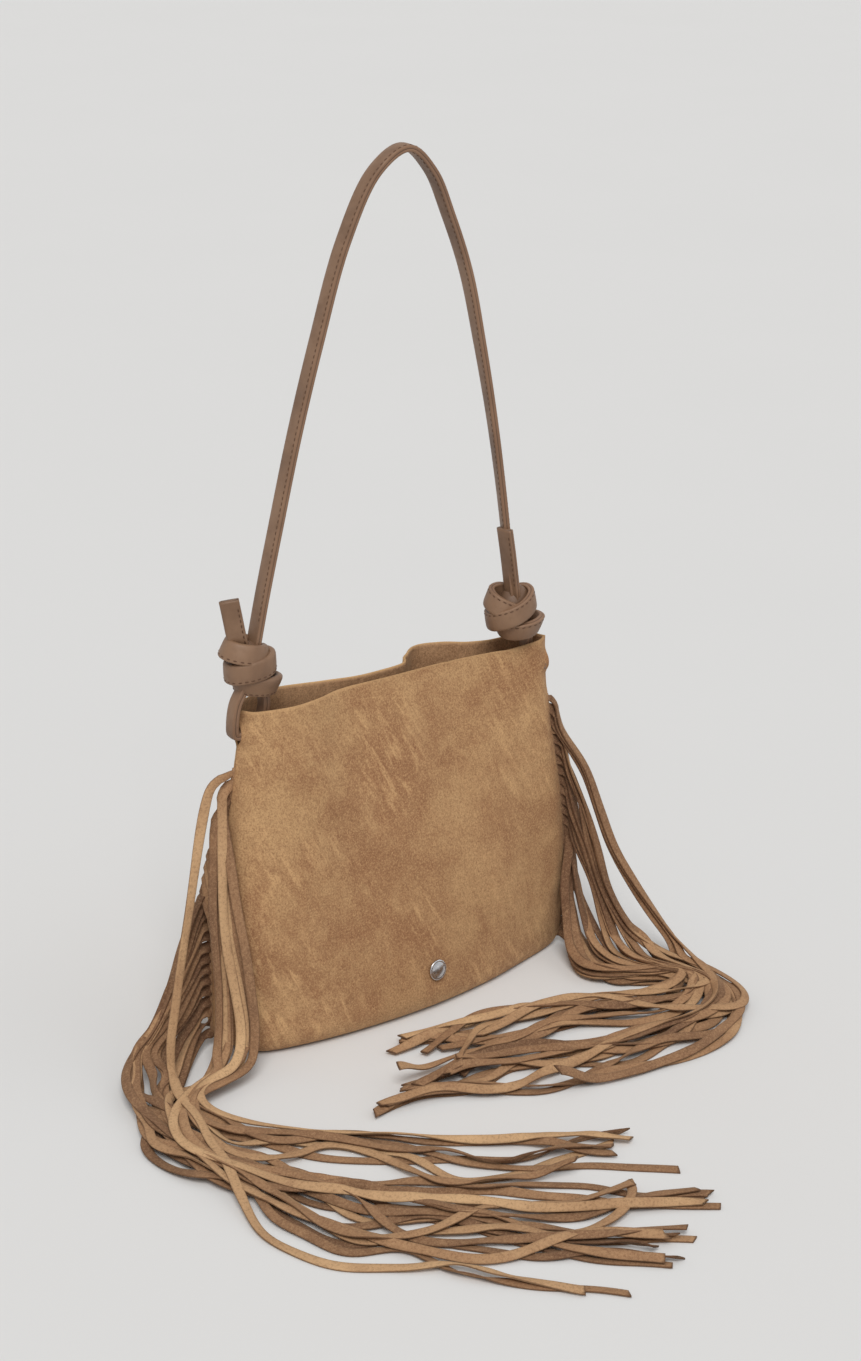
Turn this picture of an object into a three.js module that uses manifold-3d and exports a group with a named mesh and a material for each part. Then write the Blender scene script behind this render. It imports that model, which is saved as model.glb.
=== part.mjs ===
// A soft suede shoulder bag with long fringes in its side seams and a knotted leather strap.
// Millimetres, +Z up. The origin is on the flat bottom, midway between the side seams.
// +X runs along the bag's width, and its front faces -Y.

import * as THREE from 'three';
import Module from 'manifold-3d';
import { mergeVertices } from 'three/addons/utils/BufferGeometryUtils.js';

const wasm = await Module();
wasm.setup();

// Bag body
const TOP_HALF_WIDTH = 119.5;
const WAIST_HALF_WIDTH = 141;
const CORNER_INSET = 12;
const BAG_HEIGHT = 229;
const FRONT_DEPTH = 44;
const BACK_DEPTH = 40;
const FOOT_INSET = 14;
const CORNER_HEIGHT = 17;
const SUEDE_THICK = 1.6;
const BASE_SEAM_Y = 8;

// Facets of a panel: columns across it, rows under the foot, round the bottom corner and up the wall
const PANEL_COLUMNS = 25;
const FOOT_ROWS = 2;
const CORNER_ROWS = 4;
const WALL_ROWS = 11;
const LEAST_FOOT = 0.2;

// How fast a panel leaves its full lower shape for the shape of the mouth, as a power of the height
const MOUTH_EASING = 1.35;
const TAPER_START = 0.3;

// Gap that touching pieces keep
const CLEARANCE = 0.3;

// Fringe
const LACE_COUNT = 24;
const LACE_WIDTH = 6.4;
const LACE_THICK = 1.4;
const HEADER_THICK = 1.5;
const HEADER_WIDTH = 9;
const HEADER_OUT = 1.2;
const FRINGE_TOP_DROP = 41;
const FRINGE_BOTTOM = 9;
const ROOT_REACH = 12;
const FLOOR_LEVEL = 0;
const BUNDLE_THICK = 7;
const BUNDLE_TOP_SHARE = 0.55;
const BUNDLE_STEPS = 30;
const HEADER_STEPS = 8;
const END_OVERLAP = 12;
const END_LIFT = 0.2;
const END_SPREAD = 0.08;

// Strap
const STRAP_WIDTH = 12.5;
const STRAP_THICK = 4.6;
const STRAP_RISE = 344;
const KNOT_RISE = 29;
const LEFT_KNOT_INSET = 8.5;
const RIGHT_KNOT_INSET = 27.5;
const STRAP_HOLE_DROP = 16;
const STRAP_HOLE_CLEARANCE = 1.25;
const STRAP_HOLE_DEPTH = 40;
const STRAP_HOLE_SIDES = 20;
const KNOT_RADIUS = 14.5;
const KNOT_TURN_GAP = 1.5;
const KNOT_TURNS = 2.2;
const KNOT_DEPTH_SHARE = 0.82;
const KNOT_TILT = 2.6;
const KNOT_START_ANGLE = 1.2;
const KNOT_STEPS_PER_TURN = 9;
const KNOT_STEPS = 22;
const KNOT_CORE_SINK = 0.8;
const KNOT_CORE_SHARE = 1.35;
const LOOP_STEPS = 32;
const STRAND_STEPS = 15;
const STRAND_TRIM = 3.5;
const TAIL_TRIM = 0.6;
const TAIL_STEPS = 4;
const SECTION_SIDES = 8;
const SECTION_ROUNDING = 0.6;

// Stud
const STUD_RADIUS = 7;
const STUD_THICK = 1.9;
const STUD_RIM = 0.9;
const STUD_CROWN = 0.4;
const STUD_SIDES = 24;
const STUD_X = 9;
const STUD_Z = 31;
const STUD_REACH = 0.05;

// Sizes that follow from the ones above
const SEAM_HALF_GAP = HEADER_THICK / 2 + CLEARANCE;
const KNOT_PITCH = STRAP_WIDTH + KNOT_TURN_GAP;
const STRAND_WIDTH = STRAP_WIDTH - STRAND_TRIM;

// Small helpers

function smooth(x) {
  const t = Math.min(1, Math.max(0, x));
  return t * t * (3 - 2 * t);
}

function mix(a, b, t) {
  return a + (b - a) * t;
}

// A smooth height over x through a few [x, value] pairs.
function profile(pairs) {
  const curve = new THREE.CatmullRomCurve3(
    pairs.map(([x, value]) => new THREE.Vector3(x, value, 0)),
    false,
    'centripetal',
  );
  const samples = curve.getPoints(pairs.length * 12);
  return (x) => {
    if (x <= samples[0].x) {
      return samples[0].y;
    }
    for (let i = 1; i < samples.length; i += 1) {
      if (x <= samples[i].x) {
        const span = samples[i].x - samples[i - 1].x;
        return mix(samples[i - 1].y, samples[i].y, (x - samples[i - 1].x) / span);
      }
    }
    return samples[samples.length - 1].y;
  };
}

// Six times the volume inside a mesh, negative where its faces point inwards.
function signedVolume(position, index) {
  const corner = (k) => new THREE.Vector3().fromBufferAttribute(position, index[k]);
  let sum = 0;
  for (let k = 0; k < index.length; k += 3) {
    sum += corner(k).dot(corner(k + 1).cross(corner(k + 2)));
  }
  return sum;
}

// A solid from a closed geometry, with its faces turned outwards.
function solidOf(geometry) {
  const plain = geometry.clone();
  plain.deleteAttribute('normal');
  plain.deleteAttribute('uv');
  const merged = mergeVertices(plain, 1e-4);
  const index = Array.from(merged.index.array);
  if (signedVolume(merged.attributes.position, index) < 0) {
    index.reverse();
  }
  return new wasm.Manifold(
    new wasm.Mesh({
      numProp: 3,
      vertProperties: new Float32Array(merged.attributes.position.array),
      triVerts: new Uint32Array(index),
    }),
  );
}

function geometryOf(solid) {
  const mesh = solid.getMesh();
  const geometry = new THREE.BufferGeometry();
  geometry.setAttribute('position', new THREE.BufferAttribute(new Float32Array(mesh.vertProperties), 3));
  geometry.setIndex(new THREE.BufferAttribute(new Uint32Array(mesh.triVerts), 1));
  geometry.computeVertexNormals();
  return geometry;
}

// The outer skin of a joined solid alone: small pockets shut in between its windings are filled.
function filled(solid) {
  const shells = solid.decompose();
  return shells.reduce((best, shell) => (shell.volume() > best.volume() ? shell : best));
}

// A closed body from rings of points, each ring the same count, with its two ends capped by fans.
function loft(rings) {
  const count = rings[0].length;
  const positions = rings.flat().flatMap((p) => [p.x, p.y, p.z]);
  const index = [];
  for (let r = 0; r + 1 < rings.length; r += 1) {
    for (let k = 0; k < count; k += 1) {
      const a = r * count + k;
      const b = r * count + ((k + 1) % count);
      index.push(a, b, a + count, b, b + count, a + count);
    }
  }
  const last = (rings.length - 1) * count;
  for (let k = 1; k + 1 < count; k += 1) {
    index.push(0, k + 1, k);
    index.push(last, last + k, last + k + 1);
  }
  const geometry = new THREE.BufferGeometry();
  geometry.setAttribute('position', new THREE.Float32BufferAttribute(positions, 3));
  geometry.setIndex(index);
  return geometry;
}

// A closed sheet from an outer and an inner grid of points of the same size.
function sheet(outer, inner) {
  const rows = outer.length;
  const columns = outer[0].length;
  const end = columns - 1;
  const all = [...outer.flat(), ...inner.flat()];
  const positions = all.flatMap((p) => [p.x, p.y, p.z]);
  const at = (layer, row, column) => layer * rows * columns + row * columns + column;
  const index = [];
  const quad = (a, b, c, d) => index.push(a, b, c, a, c, d);
  for (let i = 0; i + 1 < rows; i += 1) {
    for (let j = 0; j + 1 < columns; j += 1) {
      quad(at(0, i, j), at(0, i, j + 1), at(0, i + 1, j + 1), at(0, i + 1, j));
      quad(at(1, i, j), at(1, i + 1, j), at(1, i + 1, j + 1), at(1, i, j + 1));
    }
  }
  for (let j = 0; j + 1 < columns; j += 1) {
    quad(at(0, 0, j + 1), at(0, 0, j), at(1, 0, j), at(1, 0, j + 1));
    quad(at(0, rows - 1, j), at(0, rows - 1, j + 1), at(1, rows - 1, j + 1), at(1, rows - 1, j));
  }
  for (let i = 0; i + 1 < rows; i += 1) {
    quad(at(0, i, 0), at(0, i + 1, 0), at(1, i + 1, 0), at(1, i, 0));
    quad(at(0, i + 1, end), at(0, i, end), at(1, i, end), at(1, i + 1, end));
  }
  const geometry = new THREE.BufferGeometry();
  geometry.setAttribute('position', new THREE.Float32BufferAttribute(positions, 3));
  geometry.setIndex(index);
  return geometry;
}

// Body of the bag

// Half the bag's width at a height: rounded bottom corners, widest low down, narrower at the mouth.
function halfWidth(z) {
  const corner = Math.min(1, z / CORNER_HEIGHT);
  const low = WAIST_HALF_WIDTH - CORNER_INSET * (1 - Math.sqrt(1 - (1 - corner) ** 2));
  const taper = smooth((z / BAG_HEIGHT - TAPER_START) / (1 - TAPER_START));
  return mix(low, low - WAIST_HALF_WIDTH + TOP_HALF_WIDTH, taper);
}

// Fullness of the front and the back across the bag, 0 at the seams and 1 at the fullest.
const frontFullness = profile([
  [-1, 0],
  [-0.95, 0.5],
  [-0.85, 0.82],
  [-0.5, 1],
  [0, 0.97],
  [0.43, 0.72],
  [0.74, 0.38],
  [0.93, 0.14],
  [1, 0],
]);

const backFullness = profile([
  [-1, 0],
  [-0.95, 0.42],
  [-0.8, 0.76],
  [-0.4, 0.98],
  [0, 1],
  [0.4, 0.96],
  [0.8, 0.7],
  [0.95, 0.4],
  [1, 0],
]);

// The two edges of the mouth, as y over x: an easy S at the front and a fold that swings back at the back.
const frontMouth = profile([
  [-1, 0],
  [-0.9, -10],
  [-0.72, -13],
  [-0.56, -10],
  [-0.38, -3],
  [-0.2, 0],
  [0.1, 1.5],
  [0.5, 2],
  [0.76, -1],
  [0.92, -5],
  [1, 0],
]);

const backMouth = profile([
  [-1, 0],
  [-0.86, 17],
  [-0.66, 23],
  [-0.38, 18],
  [-0.12, 13],
  [0.04, 14],
  [0.2, 27],
  [0.36, 38],
  [0.48, 36],
  [0.64, 26],
  [0.84, 19],
  [0.94, 13],
  [1, 0],
]);

// A point on the outer face of a panel: side -1 is the front and 1 the back, s runs across from seam to
// seam, and z is the height.
function wallPoint(side, s, z) {
  const fullness = side < 0 ? frontFullness(s) : backFullness(s);
  const mouth = side < 0 ? frontMouth(s) : backMouth(s);
  const depth = side < 0 ? FRONT_DEPTH : BACK_DEPTH;
  const corner = Math.min(1, z / CORNER_HEIGHT);
  const low = depth - FOOT_INSET * (1 - Math.sqrt(1 - (1 - corner) ** 2));
  const easing = (z / BAG_HEIGHT) ** MOUTH_EASING;
  const y = side * mix(low * fullness, side * mouth, easing);
  return new THREE.Vector3(s * halfWidth(z), y + side * SEAM_HALF_GAP, z);
}

// Where the two panels meet under the bag, as y over the share across.
function baseSeam(s) {
  return BASE_SEAM_Y * (1 - s ** 4);
}

// Heights of a panel's rows, close together round the bottom corner and even up the wall.
function rowHeights() {
  const heights = [];
  for (let k = 0; k < CORNER_ROWS; k += 1) {
    heights.push(CORNER_HEIGHT * (1 - Math.cos((k / CORNER_ROWS) * Math.PI / 2)));
  }
  for (let k = 0; k <= WALL_ROWS; k += 1) {
    heights.push(mix(CORNER_HEIGHT, BAG_HEIGHT, k / WALL_ROWS));
  }
  return heights;
}

// Places across a panel from seam to seam, close together at the seams.
function columnShares() {
  const shares = [];
  for (let j = 0; j <= PANEL_COLUMNS; j += 1) {
    shares.push(Math.sin((j / PANEL_COLUMNS - 0.5) * Math.PI));
  }
  return shares;
}

// The outer face of a panel as rows of points: under the foot from the seam in the base, then up the wall.
function panelGrid(side) {
  const across = columnShares();
  const rows = [];
  for (let k = 0; k < FOOT_ROWS; k += 1) {
    rows.push(
      across.map((s) => {
        const edge = wallPoint(side, s, 0);
        const seamEdge = baseSeam(s) + (side * CLEARANCE) / 2;
        const least = edge.y - side * LEAST_FOOT;
        const start = side < 0 ? Math.max(seamEdge, least) : Math.min(seamEdge, least);
        return new THREE.Vector3(edge.x, mix(start, edge.y, k / FOOT_ROWS), 0);
      }),
    );
  }
  for (const z of rowHeights()) {
    rows.push(across.map((s) => wallPoint(side, s, z)));
  }
  return rows;
}

// Normals of a grid of points by differences between neighbours.
function gridNormal(grid, i, j) {
  const rows = grid.length;
  const columns = grid[0].length;
  const down = grid[Math.max(0, i - 1)][j];
  const up = grid[Math.min(rows - 1, i + 1)][j];
  const left = grid[i][Math.max(0, j - 1)];
  const right = grid[i][Math.min(columns - 1, j + 1)];
  return new THREE.Vector3()
    .crossVectors(new THREE.Vector3().subVectors(right, left), new THREE.Vector3().subVectors(up, down))
    .normalize();
}

// A panel with its wall thickness, its inner face held clear of the seam.
function panelSolid(side) {
  const outer = panelGrid(side);
  const inner = outer.map((row, i) =>
    row.map((p, j) => {
      const normal = gridNormal(outer, i, j).multiplyScalar(-side);
      const q = p.clone().addScaledVector(normal, -SUEDE_THICK);
      const wall = i >= FOOT_ROWS;
      const edge = wall ? side * SEAM_HALF_GAP : baseSeam(p.x / halfWidth(0)) + (side * CLEARANCE) / 2;
      q.y = side < 0 ? Math.min(q.y, Math.max(edge, p.y)) : Math.max(q.y, Math.min(edge, p.y));
      if (!wall) {
        q.z = SUEDE_THICK;
      }
      return q;
    }),
  );
  return solidOf(sheet(outer, inner));
}

// The round hole that the narrowed strap goes through, in both side seams.
function strapHoles() {
  const radius = STRAND_WIDTH / 2 + STRAP_HOLE_CLEARANCE;
  const hole = new THREE.CylinderGeometry(radius, radius, STRAP_HOLE_DEPTH, STRAP_HOLE_SIDES);
  hole.rotateZ(Math.PI / 2);
  const z = BAG_HEIGHT - STRAP_HOLE_DROP;
  const left = hole.clone().translate(-halfWidth(z), 0, z);
  const right = hole.clone().translate(halfWidth(z), 0, z);
  return solidOf(left).add(solidOf(right));
}

function panel(side) {
  return geometryOf(panelSolid(side).subtract(strapHoles()));
}

// Fringe

// Where the bundle of laces hangs and lies, as its edge nearest the bag and its far edge.
// A hanging point is [distance out from the seam, y, share of the fringe's top height],
// and a floor point is [distance out from the bag's widest line, y].
const LEFT_BUNDLE = {
  near: {
    hang: [[8, -1, 0.98], [8, -2, 0.8], [8, -3, 0.53], [8, -5, 0.27], [12, -10, 0.09]],
    floor: [
      [17, -26], [29, -52], [35, -80], [23, -108], [-5, -136], [-41, -160], [-79, -184], [-111, -204],
    ],
  },
  far: {
    hang: [[13, -1, 0.97], [22, -5, 0.8], [32, -9, 0.53], [46, -13, 0.27], [62, -22, 0.09]],
    floor: [
      [75, -44], [93, -76], [102, -112], [93, -160], [75, -214], [53, -268], [25, -316], [-1, -346],
    ],
  },
  fingers: { nearWay: [0.77, -0.64], farWay: [0.8, -0.6], short: 50, long: 112 },
};

const RIGHT_BUNDLE = {
  near: {
    hang: [[8, -1, 0.98], [8, -6, 0.8], [8, -10, 0.53], [8, -16, 0.27], [12, -26, 0.09]],
    floor: [
      [16, -42], [17, -62], [7, -78], [-13, -88], [-41, -92], [-71, -88], [-105, -80], [-135, -74],
    ],
  },
  far: {
    hang: [[13, -1, 0.97], [22, -18, 0.8], [30, -38, 0.53], [41, -58, 0.27], [53, -76, 0.09]],
    floor: [
      [59, -96], [59, -120], [47, -148], [19, -170], [-21, -182], [-65, -182], [-109, -172], [-147, -160],
    ],
  },
  fingers: { nearWay: [-1, 0.12], farWay: [-0.94, 0.33], short: 34, long: 96 },
};

// Height of the middle of a lace at the seam, from the top one at share 0 to the bottom one at share 1.
function laceHeight(a) {
  return mix(BAG_HEIGHT - FRINGE_TOP_DROP, FRINGE_BOTTOM, a);
}

function bundleEdge(side, edge) {
  const hanging = edge.hang.map(([out, y, share]) => {
    const z = share * laceHeight(0);
    return new THREE.Vector3(side * (halfWidth(Math.max(z, CORNER_HEIGHT)) + out), y, z);
  });
  const lying = edge.floor.map(
    ([out, y]) => new THREE.Vector3(side * (WAIST_HALF_WIDTH + out), y, FLOOR_LEVEL + BUNDLE_THICK / 2),
  );
  return new THREE.CatmullRomCurve3([...hanging, ...lying], false, 'centripetal');
}

// The laces where they lie together: one flat body that hangs from the seam and then sweeps over the floor.
function bundle(side, shape) {
  const near = bundleEdge(side, shape.near);
  const far = bundleEdge(side, shape.far);
  const corners = [[-1, -0.4], [-0.9, -1], [0.9, -1], [1, -0.4], [1, 0.4], [0.9, 1], [-0.9, 1], [-1, 0.4]];
  const rings = [];
  for (let k = 0; k <= BUNDLE_STEPS; k += 1) {
    const t = k / BUNDLE_STEPS;
    const a = near.getPoint(t);
    const b = far.getPoint(t);
    const centre = a.clone().lerp(b, 0.5);
    const across = b.clone().sub(a).multiplyScalar(0.5);
    const along = near.getTangent(t).add(far.getTangent(t));
    const up = new THREE.Vector3().crossVectors(along, across).multiplyScalar(-side).normalize();
    const half = (BUNDLE_THICK / 2) * mix(BUNDLE_TOP_SHARE, 1, smooth(t * 3));
    const ring = corners.map(([w, h]) =>
      centre.clone().addScaledVector(across, w).addScaledVector(up, h * half),
    );
    ring.forEach((p) => p.setZ(Math.max(p.z, FLOOR_LEVEL)));
    rings.push(ring);
  }
  return solidOf(loft(rings));
}

// A straight or bent flat lace through a few points, its width kept in one direction.
function flatLace(points, wide, flat) {
  const rings = points.map((p) =>
    [[-1, -1], [1, -1], [1, 1], [-1, 1]].map(([w, h]) =>
      p.clone().addScaledVector(wide, (w * LACE_WIDTH) / 2).addScaledVector(flat, (h * LACE_THICK) / 2),
    ),
  );
  return solidOf(loft(rings));
}

// The start of one lace, on edge from the seam over a small arch into the bundle.
function laceRoot(side, number) {
  const z = laceHeight(number / (LACE_COUNT - 1));
  const edge = halfWidth(z);
  const points = [[-2, 0], [4, 0.2], [8, -1], [ROOT_REACH, -3.4]].map(
    ([out, rise]) => new THREE.Vector3(side * (edge + out), 0, z + rise),
  );
  return flatLace(points, new THREE.Vector3(0, 0, 1), new THREE.Vector3(0, 1, 0));
}

// The loose end of one lace, where it runs out of the bundle over the floor.
function laceEnd(side, shape, number) {
  const share = (number + 0.5) / LACE_COUNT;
  const nearCorner = bundleEdge(side, shape.near).getPoint(1);
  const farCorner = bundleEdge(side, shape.far).getPoint(1);
  const start = nearCorner.lerp(farCorner, share);
  const way = new THREE.Vector3(
    -side * Math.abs(mix(shape.fingers.nearWay[0], shape.fingers.farWay[0], share)),
    mix(shape.fingers.nearWay[1], shape.fingers.farWay[1], share) + END_SPREAD * Math.sin(number * 2.3),
    0,
  ).normalize();
  const wide = new THREE.Vector3(-way.y, way.x, 0);
  const swing = 0.5 + 0.5 * Math.sin(number * 1.9 + 0.6);
  const length = mix(shape.fingers.short, shape.fingers.long, swing);
  start.z = FLOOR_LEVEL + LACE_THICK / 2 + END_LIFT + (number % 2) * (LACE_THICK + CLEARANCE);
  const points = [-END_OVERLAP, length * 0.5, length].map((d) => start.clone().addScaledVector(way, d));
  return flatLace(points, wide, new THREE.Vector3(0, 0, 1));
}

// The uncut edge of the strip, sewn in between the two panels.
function fringeHeader(side) {
  const top = laceHeight(0) + LACE_WIDTH / 2;
  const bottom = laceHeight(1) - LACE_WIDTH / 2;
  const half = HEADER_THICK / 2;
  const rings = [];
  for (let k = 0; k <= HEADER_STEPS; k += 1) {
    const z = mix(bottom, top, k / HEADER_STEPS);
    const outer = side * (halfWidth(z) + HEADER_OUT);
    const inner = outer - side * HEADER_WIDTH;
    rings.push([
      new THREE.Vector3(inner, -half, z),
      new THREE.Vector3(outer, -half, z),
      new THREE.Vector3(outer, half, z),
      new THREE.Vector3(inner, half, z),
    ]);
  }
  return solidOf(loft(rings));
}

function fringe(side, shape) {
  let whole = fringeHeader(side).add(bundle(side, shape));
  for (let number = 0; number < LACE_COUNT; number += 1) {
    whole = whole.add(laceRoot(side, number)).add(laceEnd(side, shape, number));
  }
  return geometryOf(filled(whole));
}

// Strap

// A rounded flat section swept along a route. The wide way of the section follows the given direction.
function strapRun(points, wide, width, thick, steps) {
  const curve = new THREE.CatmullRomCurve3(points, false, 'centripetal');
  const rings = [];
  for (let k = 0; k <= steps; k += 1) {
    const u = k / steps;
    const tangent = curve.getTangentAt(u);
    const across = wide(u).clone();
    across.addScaledVector(tangent, -across.dot(tangent)).normalize();
    const up = new THREE.Vector3().crossVectors(tangent, across);
    const centre = curve.getPointAt(u);
    const ring = [];
    for (let m = 0; m < SECTION_SIDES; m += 1) {
      const angle = ((m + 0.5) / SECTION_SIDES) * Math.PI * 2;
      const c = Math.cos(angle);
      const s = Math.sin(angle);
      const w = (width / 2) * Math.sign(c) * Math.abs(c) ** SECTION_ROUNDING;
      const h = (thick / 2) * Math.sign(s) * Math.abs(s) ** SECTION_ROUNDING;
      ring.push(centre.clone().addScaledVector(across, w).addScaledVector(up, h));
    }
    rings.push(ring);
  }
  return solidOf(loft(rings));
}

const FRONT_TO_BACK = () => new THREE.Vector3(0, 1, 0);
const UPWARDS = () => new THREE.Vector3(0.1, 0, 1);

function vectors(list) {
  return list.map((p) => new THREE.Vector3(...p));
}

// The long loop that goes over the shoulder, from knot to knot.
function strapLoop(left, right) {
  const top = BAG_HEIGHT + STRAP_RISE - STRAP_THICK / 2;
  const shape = [
    [-1, 0], [-0.92, 0.14], [-0.83, 0.28], [-0.71, 0.46], [-0.57, 0.64], [-0.4, 0.83], [-0.2, 0.96], [0, 1],
    [0.2, 0.95], [0.35, 0.86], [0.51, 0.74], [0.64, 0.59], [0.76, 0.43], [0.86, 0.27], [0.95, 0.1], [1, 0],
  ];
  const points = shape.map(([across, up]) => {
    const x = across < 0 ? -across * left.x : across * right.x;
    return new THREE.Vector3(x, 0, mix(across < 0 ? left.z : right.z, top, up));
  });
  return strapRun(points, FRONT_TO_BACK, STRAP_WIDTH, STRAP_THICK, LOOP_STEPS);
}

// A knot above the rim: the strap drops outside, goes in through the hole, comes up inside and winds round.
function knot(side, centre) {
  const holeZ = BAG_HEIGHT - STRAP_HOLE_DROP;
  const edge = side * halfWidth(holeZ);
  const outside = [
    [centre.x + side * 1.7, -0.8, centre.z + 6.4],
    [centre.x + side * 6, -1, centre.z - 10],
    [edge + side * 7, -1, holeZ + 22],
    [edge + side * 8, 0, holeZ + 8],
    [edge + side * 3, 0, holeZ + 0.6],
  ];
  const inside = [
    [edge - side * 3, 0, holeZ + 0.6],
    [edge - side * 9, 1, holeZ + 3],
    [edge - side * 14, 2.4, holeZ + 13],
    [edge - side * 14, 3, holeZ + 25],
    [centre.x + side * 0.9, 1.1, centre.z - 1.3],
  ];
  const route = vectors([...outside, ...inside]);
  const strand = strapRun(route, FRONT_TO_BACK, STRAND_WIDTH, STRAP_THICK, STRAND_STEPS);
  const wraps = [];
  for (let k = 0; k <= KNOT_STEPS_PER_TURN * KNOT_TURNS; k += 1) {
    const turn = k / KNOT_STEPS_PER_TURN;
    const angle = turn * Math.PI * 2 + KNOT_START_ANGLE;
    wraps.push([
      centre.x - side * KNOT_RADIUS * Math.cos(angle),
      KNOT_DEPTH_SHARE * KNOT_RADIUS * Math.sin(angle),
      centre.z + KNOT_PITCH * (turn - KNOT_TURNS / 2) - KNOT_TILT * Math.cos(angle),
    ]);
  }
  const turns = strapRun(vectors(wraps), UPWARDS, STRAP_WIDTH, STRAP_THICK, KNOT_STEPS);
  const core = new THREE.SphereGeometry(1, 10, 6);
  const coreDepth = KNOT_DEPTH_SHARE * KNOT_RADIUS - KNOT_CORE_SINK;
  core.scale(KNOT_RADIUS - KNOT_CORE_SINK, coreDepth, KNOT_CORE_SHARE * KNOT_PITCH);
  core.translate(centre.x, 0, centre.z);
  return strand.add(turns).add(solidOf(core));
}

// The cut end of the strap, standing up beside the loop.
function strapTail(points) {
  return strapRun(vectors(points), FRONT_TO_BACK, STRAP_WIDTH, STRAP_THICK - TAIL_TRIM, TAIL_STEPS);
}

function strap() {
  const left = new THREE.Vector3(LEFT_KNOT_INSET - TOP_HALF_WIDTH, 0, BAG_HEIGHT + KNOT_RISE);
  const right = new THREE.Vector3(TOP_HALF_WIDTH - RIGHT_KNOT_INSET, 0, BAG_HEIGHT + KNOT_RISE);
  const leftTail = [
    [left.x - 1.1, 0.7, left.z + 3.1],
    [left.x - 7, -1, left.z + 20],
    [left.x - 12, -1, left.z + 34],
    [left.x - 15, -1, left.z + 45],
  ];
  const rightTail = [
    [right.x - 0.7, -1.3, right.z + 1.9],
    [right.x - 5, -3, right.z + 22],
    [right.x - 9, -4, right.z + 42],
    [right.x - 12, -4, right.z + 58],
  ];
  const whole = strapLoop(left, right)
    .add(knot(-1, left))
    .add(knot(1, right))
    .add(strapTail(leftTail))
    .add(strapTail(rightTail));
  return geometryOf(filled(whole));
}

// A plain round stud on the front, its back flat against the suede but for the clearance.
function stud() {
  const across = STUD_X / halfWidth(STUD_Z);
  const face = wallPoint(-1, across, STUD_Z);
  const right = wallPoint(-1, across + STUD_REACH, STUD_Z).sub(wallPoint(-1, across - STUD_REACH, STUD_Z));
  const up = wallPoint(-1, across, STUD_Z + STUD_RADIUS).sub(wallPoint(-1, across, STUD_Z - STUD_RADIUS));
  const out = new THREE.Vector3().crossVectors(right, up).normalize();
  const geometry = new THREE.LatheGeometry(
    [
      new THREE.Vector2(0, 0),
      new THREE.Vector2(STUD_RADIUS, 0),
      new THREE.Vector2(STUD_RADIUS, STUD_RIM),
      new THREE.Vector2(STUD_RADIUS - STUD_RIM, STUD_THICK - STUD_CROWN),
      new THREE.Vector2(0, STUD_THICK),
    ],
    STUD_SIDES,
  );
  geometry.applyQuaternion(new THREE.Quaternion().setFromUnitVectors(new THREE.Vector3(0, 1, 0), out));
  const seat = face.addScaledVector(out, CLEARANCE);
  geometry.translate(seat.x, seat.y, seat.z);
  return geometryOf(solidOf(geometry));
}

// Materials, one for each piece

function material(color, roughness, metalness = 0) {
  return new THREE.MeshStandardMaterial({ color, roughness, metalness });
}

const group = new THREE.Group();

function addPiece(name, geometry, finish) {
  const mesh = new THREE.Mesh(geometry, finish);
  mesh.name = name;
  group.add(mesh);
}

addPiece('front_panel', panel(-1), material(0xb8915f, 0.95));
addPiece('back_panel', panel(1), material(0xb08a5a, 0.95));
addPiece('fringe_left', fringe(-1, LEFT_BUNDLE), material(0xb28a5f, 0.95));
addPiece('fringe_right', fringe(1, RIGHT_BUNDLE), material(0xb28a5f, 0.95));
addPiece('strap', strap(), material(0x84654e, 0.55));
addPiece('front_stud', stud(), material(0xd0d2d4, 0.25, 1));

export default group;
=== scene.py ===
# Looks of a fringed suede shoulder bag with a knotted leather strap.
# Lengths are in millimetres up to where a mesh is made, and in metres in the materials and the camera.

import math

import bpy
import numpy as np
from mathutils import Matrix, Vector


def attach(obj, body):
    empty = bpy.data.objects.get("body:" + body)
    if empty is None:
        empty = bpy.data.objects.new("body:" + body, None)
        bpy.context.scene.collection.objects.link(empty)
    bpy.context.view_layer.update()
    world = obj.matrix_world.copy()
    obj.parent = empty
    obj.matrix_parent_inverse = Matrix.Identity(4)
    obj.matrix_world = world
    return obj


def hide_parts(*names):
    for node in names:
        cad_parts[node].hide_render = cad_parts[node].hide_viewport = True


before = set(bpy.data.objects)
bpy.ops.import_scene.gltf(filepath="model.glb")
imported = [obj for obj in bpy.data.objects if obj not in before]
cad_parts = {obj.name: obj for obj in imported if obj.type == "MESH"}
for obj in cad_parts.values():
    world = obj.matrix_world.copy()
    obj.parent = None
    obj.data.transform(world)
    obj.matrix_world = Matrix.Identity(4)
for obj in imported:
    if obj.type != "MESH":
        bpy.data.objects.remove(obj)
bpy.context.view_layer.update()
SCENE = bpy.context.scene
MM = 0.001


# Camera

def make_camera():
    """The photograph's view: 35 degrees round to the left, 21 degrees down."""
    yaw = math.radians(35.0)
    pitch = math.radians(21.0)
    roll = math.radians(1.172)
    focal_pixels = 2827.6
    frame_height_pixels = 1361
    sensor = 36.0
    spot = Vector((-0.9631, -1.4134, 0.8822))
    ahead = Vector((math.sin(yaw) * math.cos(pitch), math.cos(yaw) * math.cos(pitch), -math.sin(pitch)))
    level = Vector((math.cos(yaw), -math.sin(yaw), 0))
    upright = level.cross(ahead)
    right = math.cos(roll) * level + math.sin(roll) * upright
    up = -math.sin(roll) * level + math.cos(roll) * upright
    data = bpy.data.cameras.new("camera")
    data.sensor_width = sensor
    data.lens = focal_pixels / frame_height_pixels * sensor
    data.clip_start = 0.05
    data.clip_end = 60
    camera = bpy.data.objects.new("camera", data)
    SCENE.collection.objects.link(camera)
    turn = Matrix((right, up, -ahead)).transposed()
    camera.matrix_world = Matrix.Translation(spot) @ turn.to_4x4()
    SCENE.camera = camera


make_camera()


# Small helpers

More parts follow.
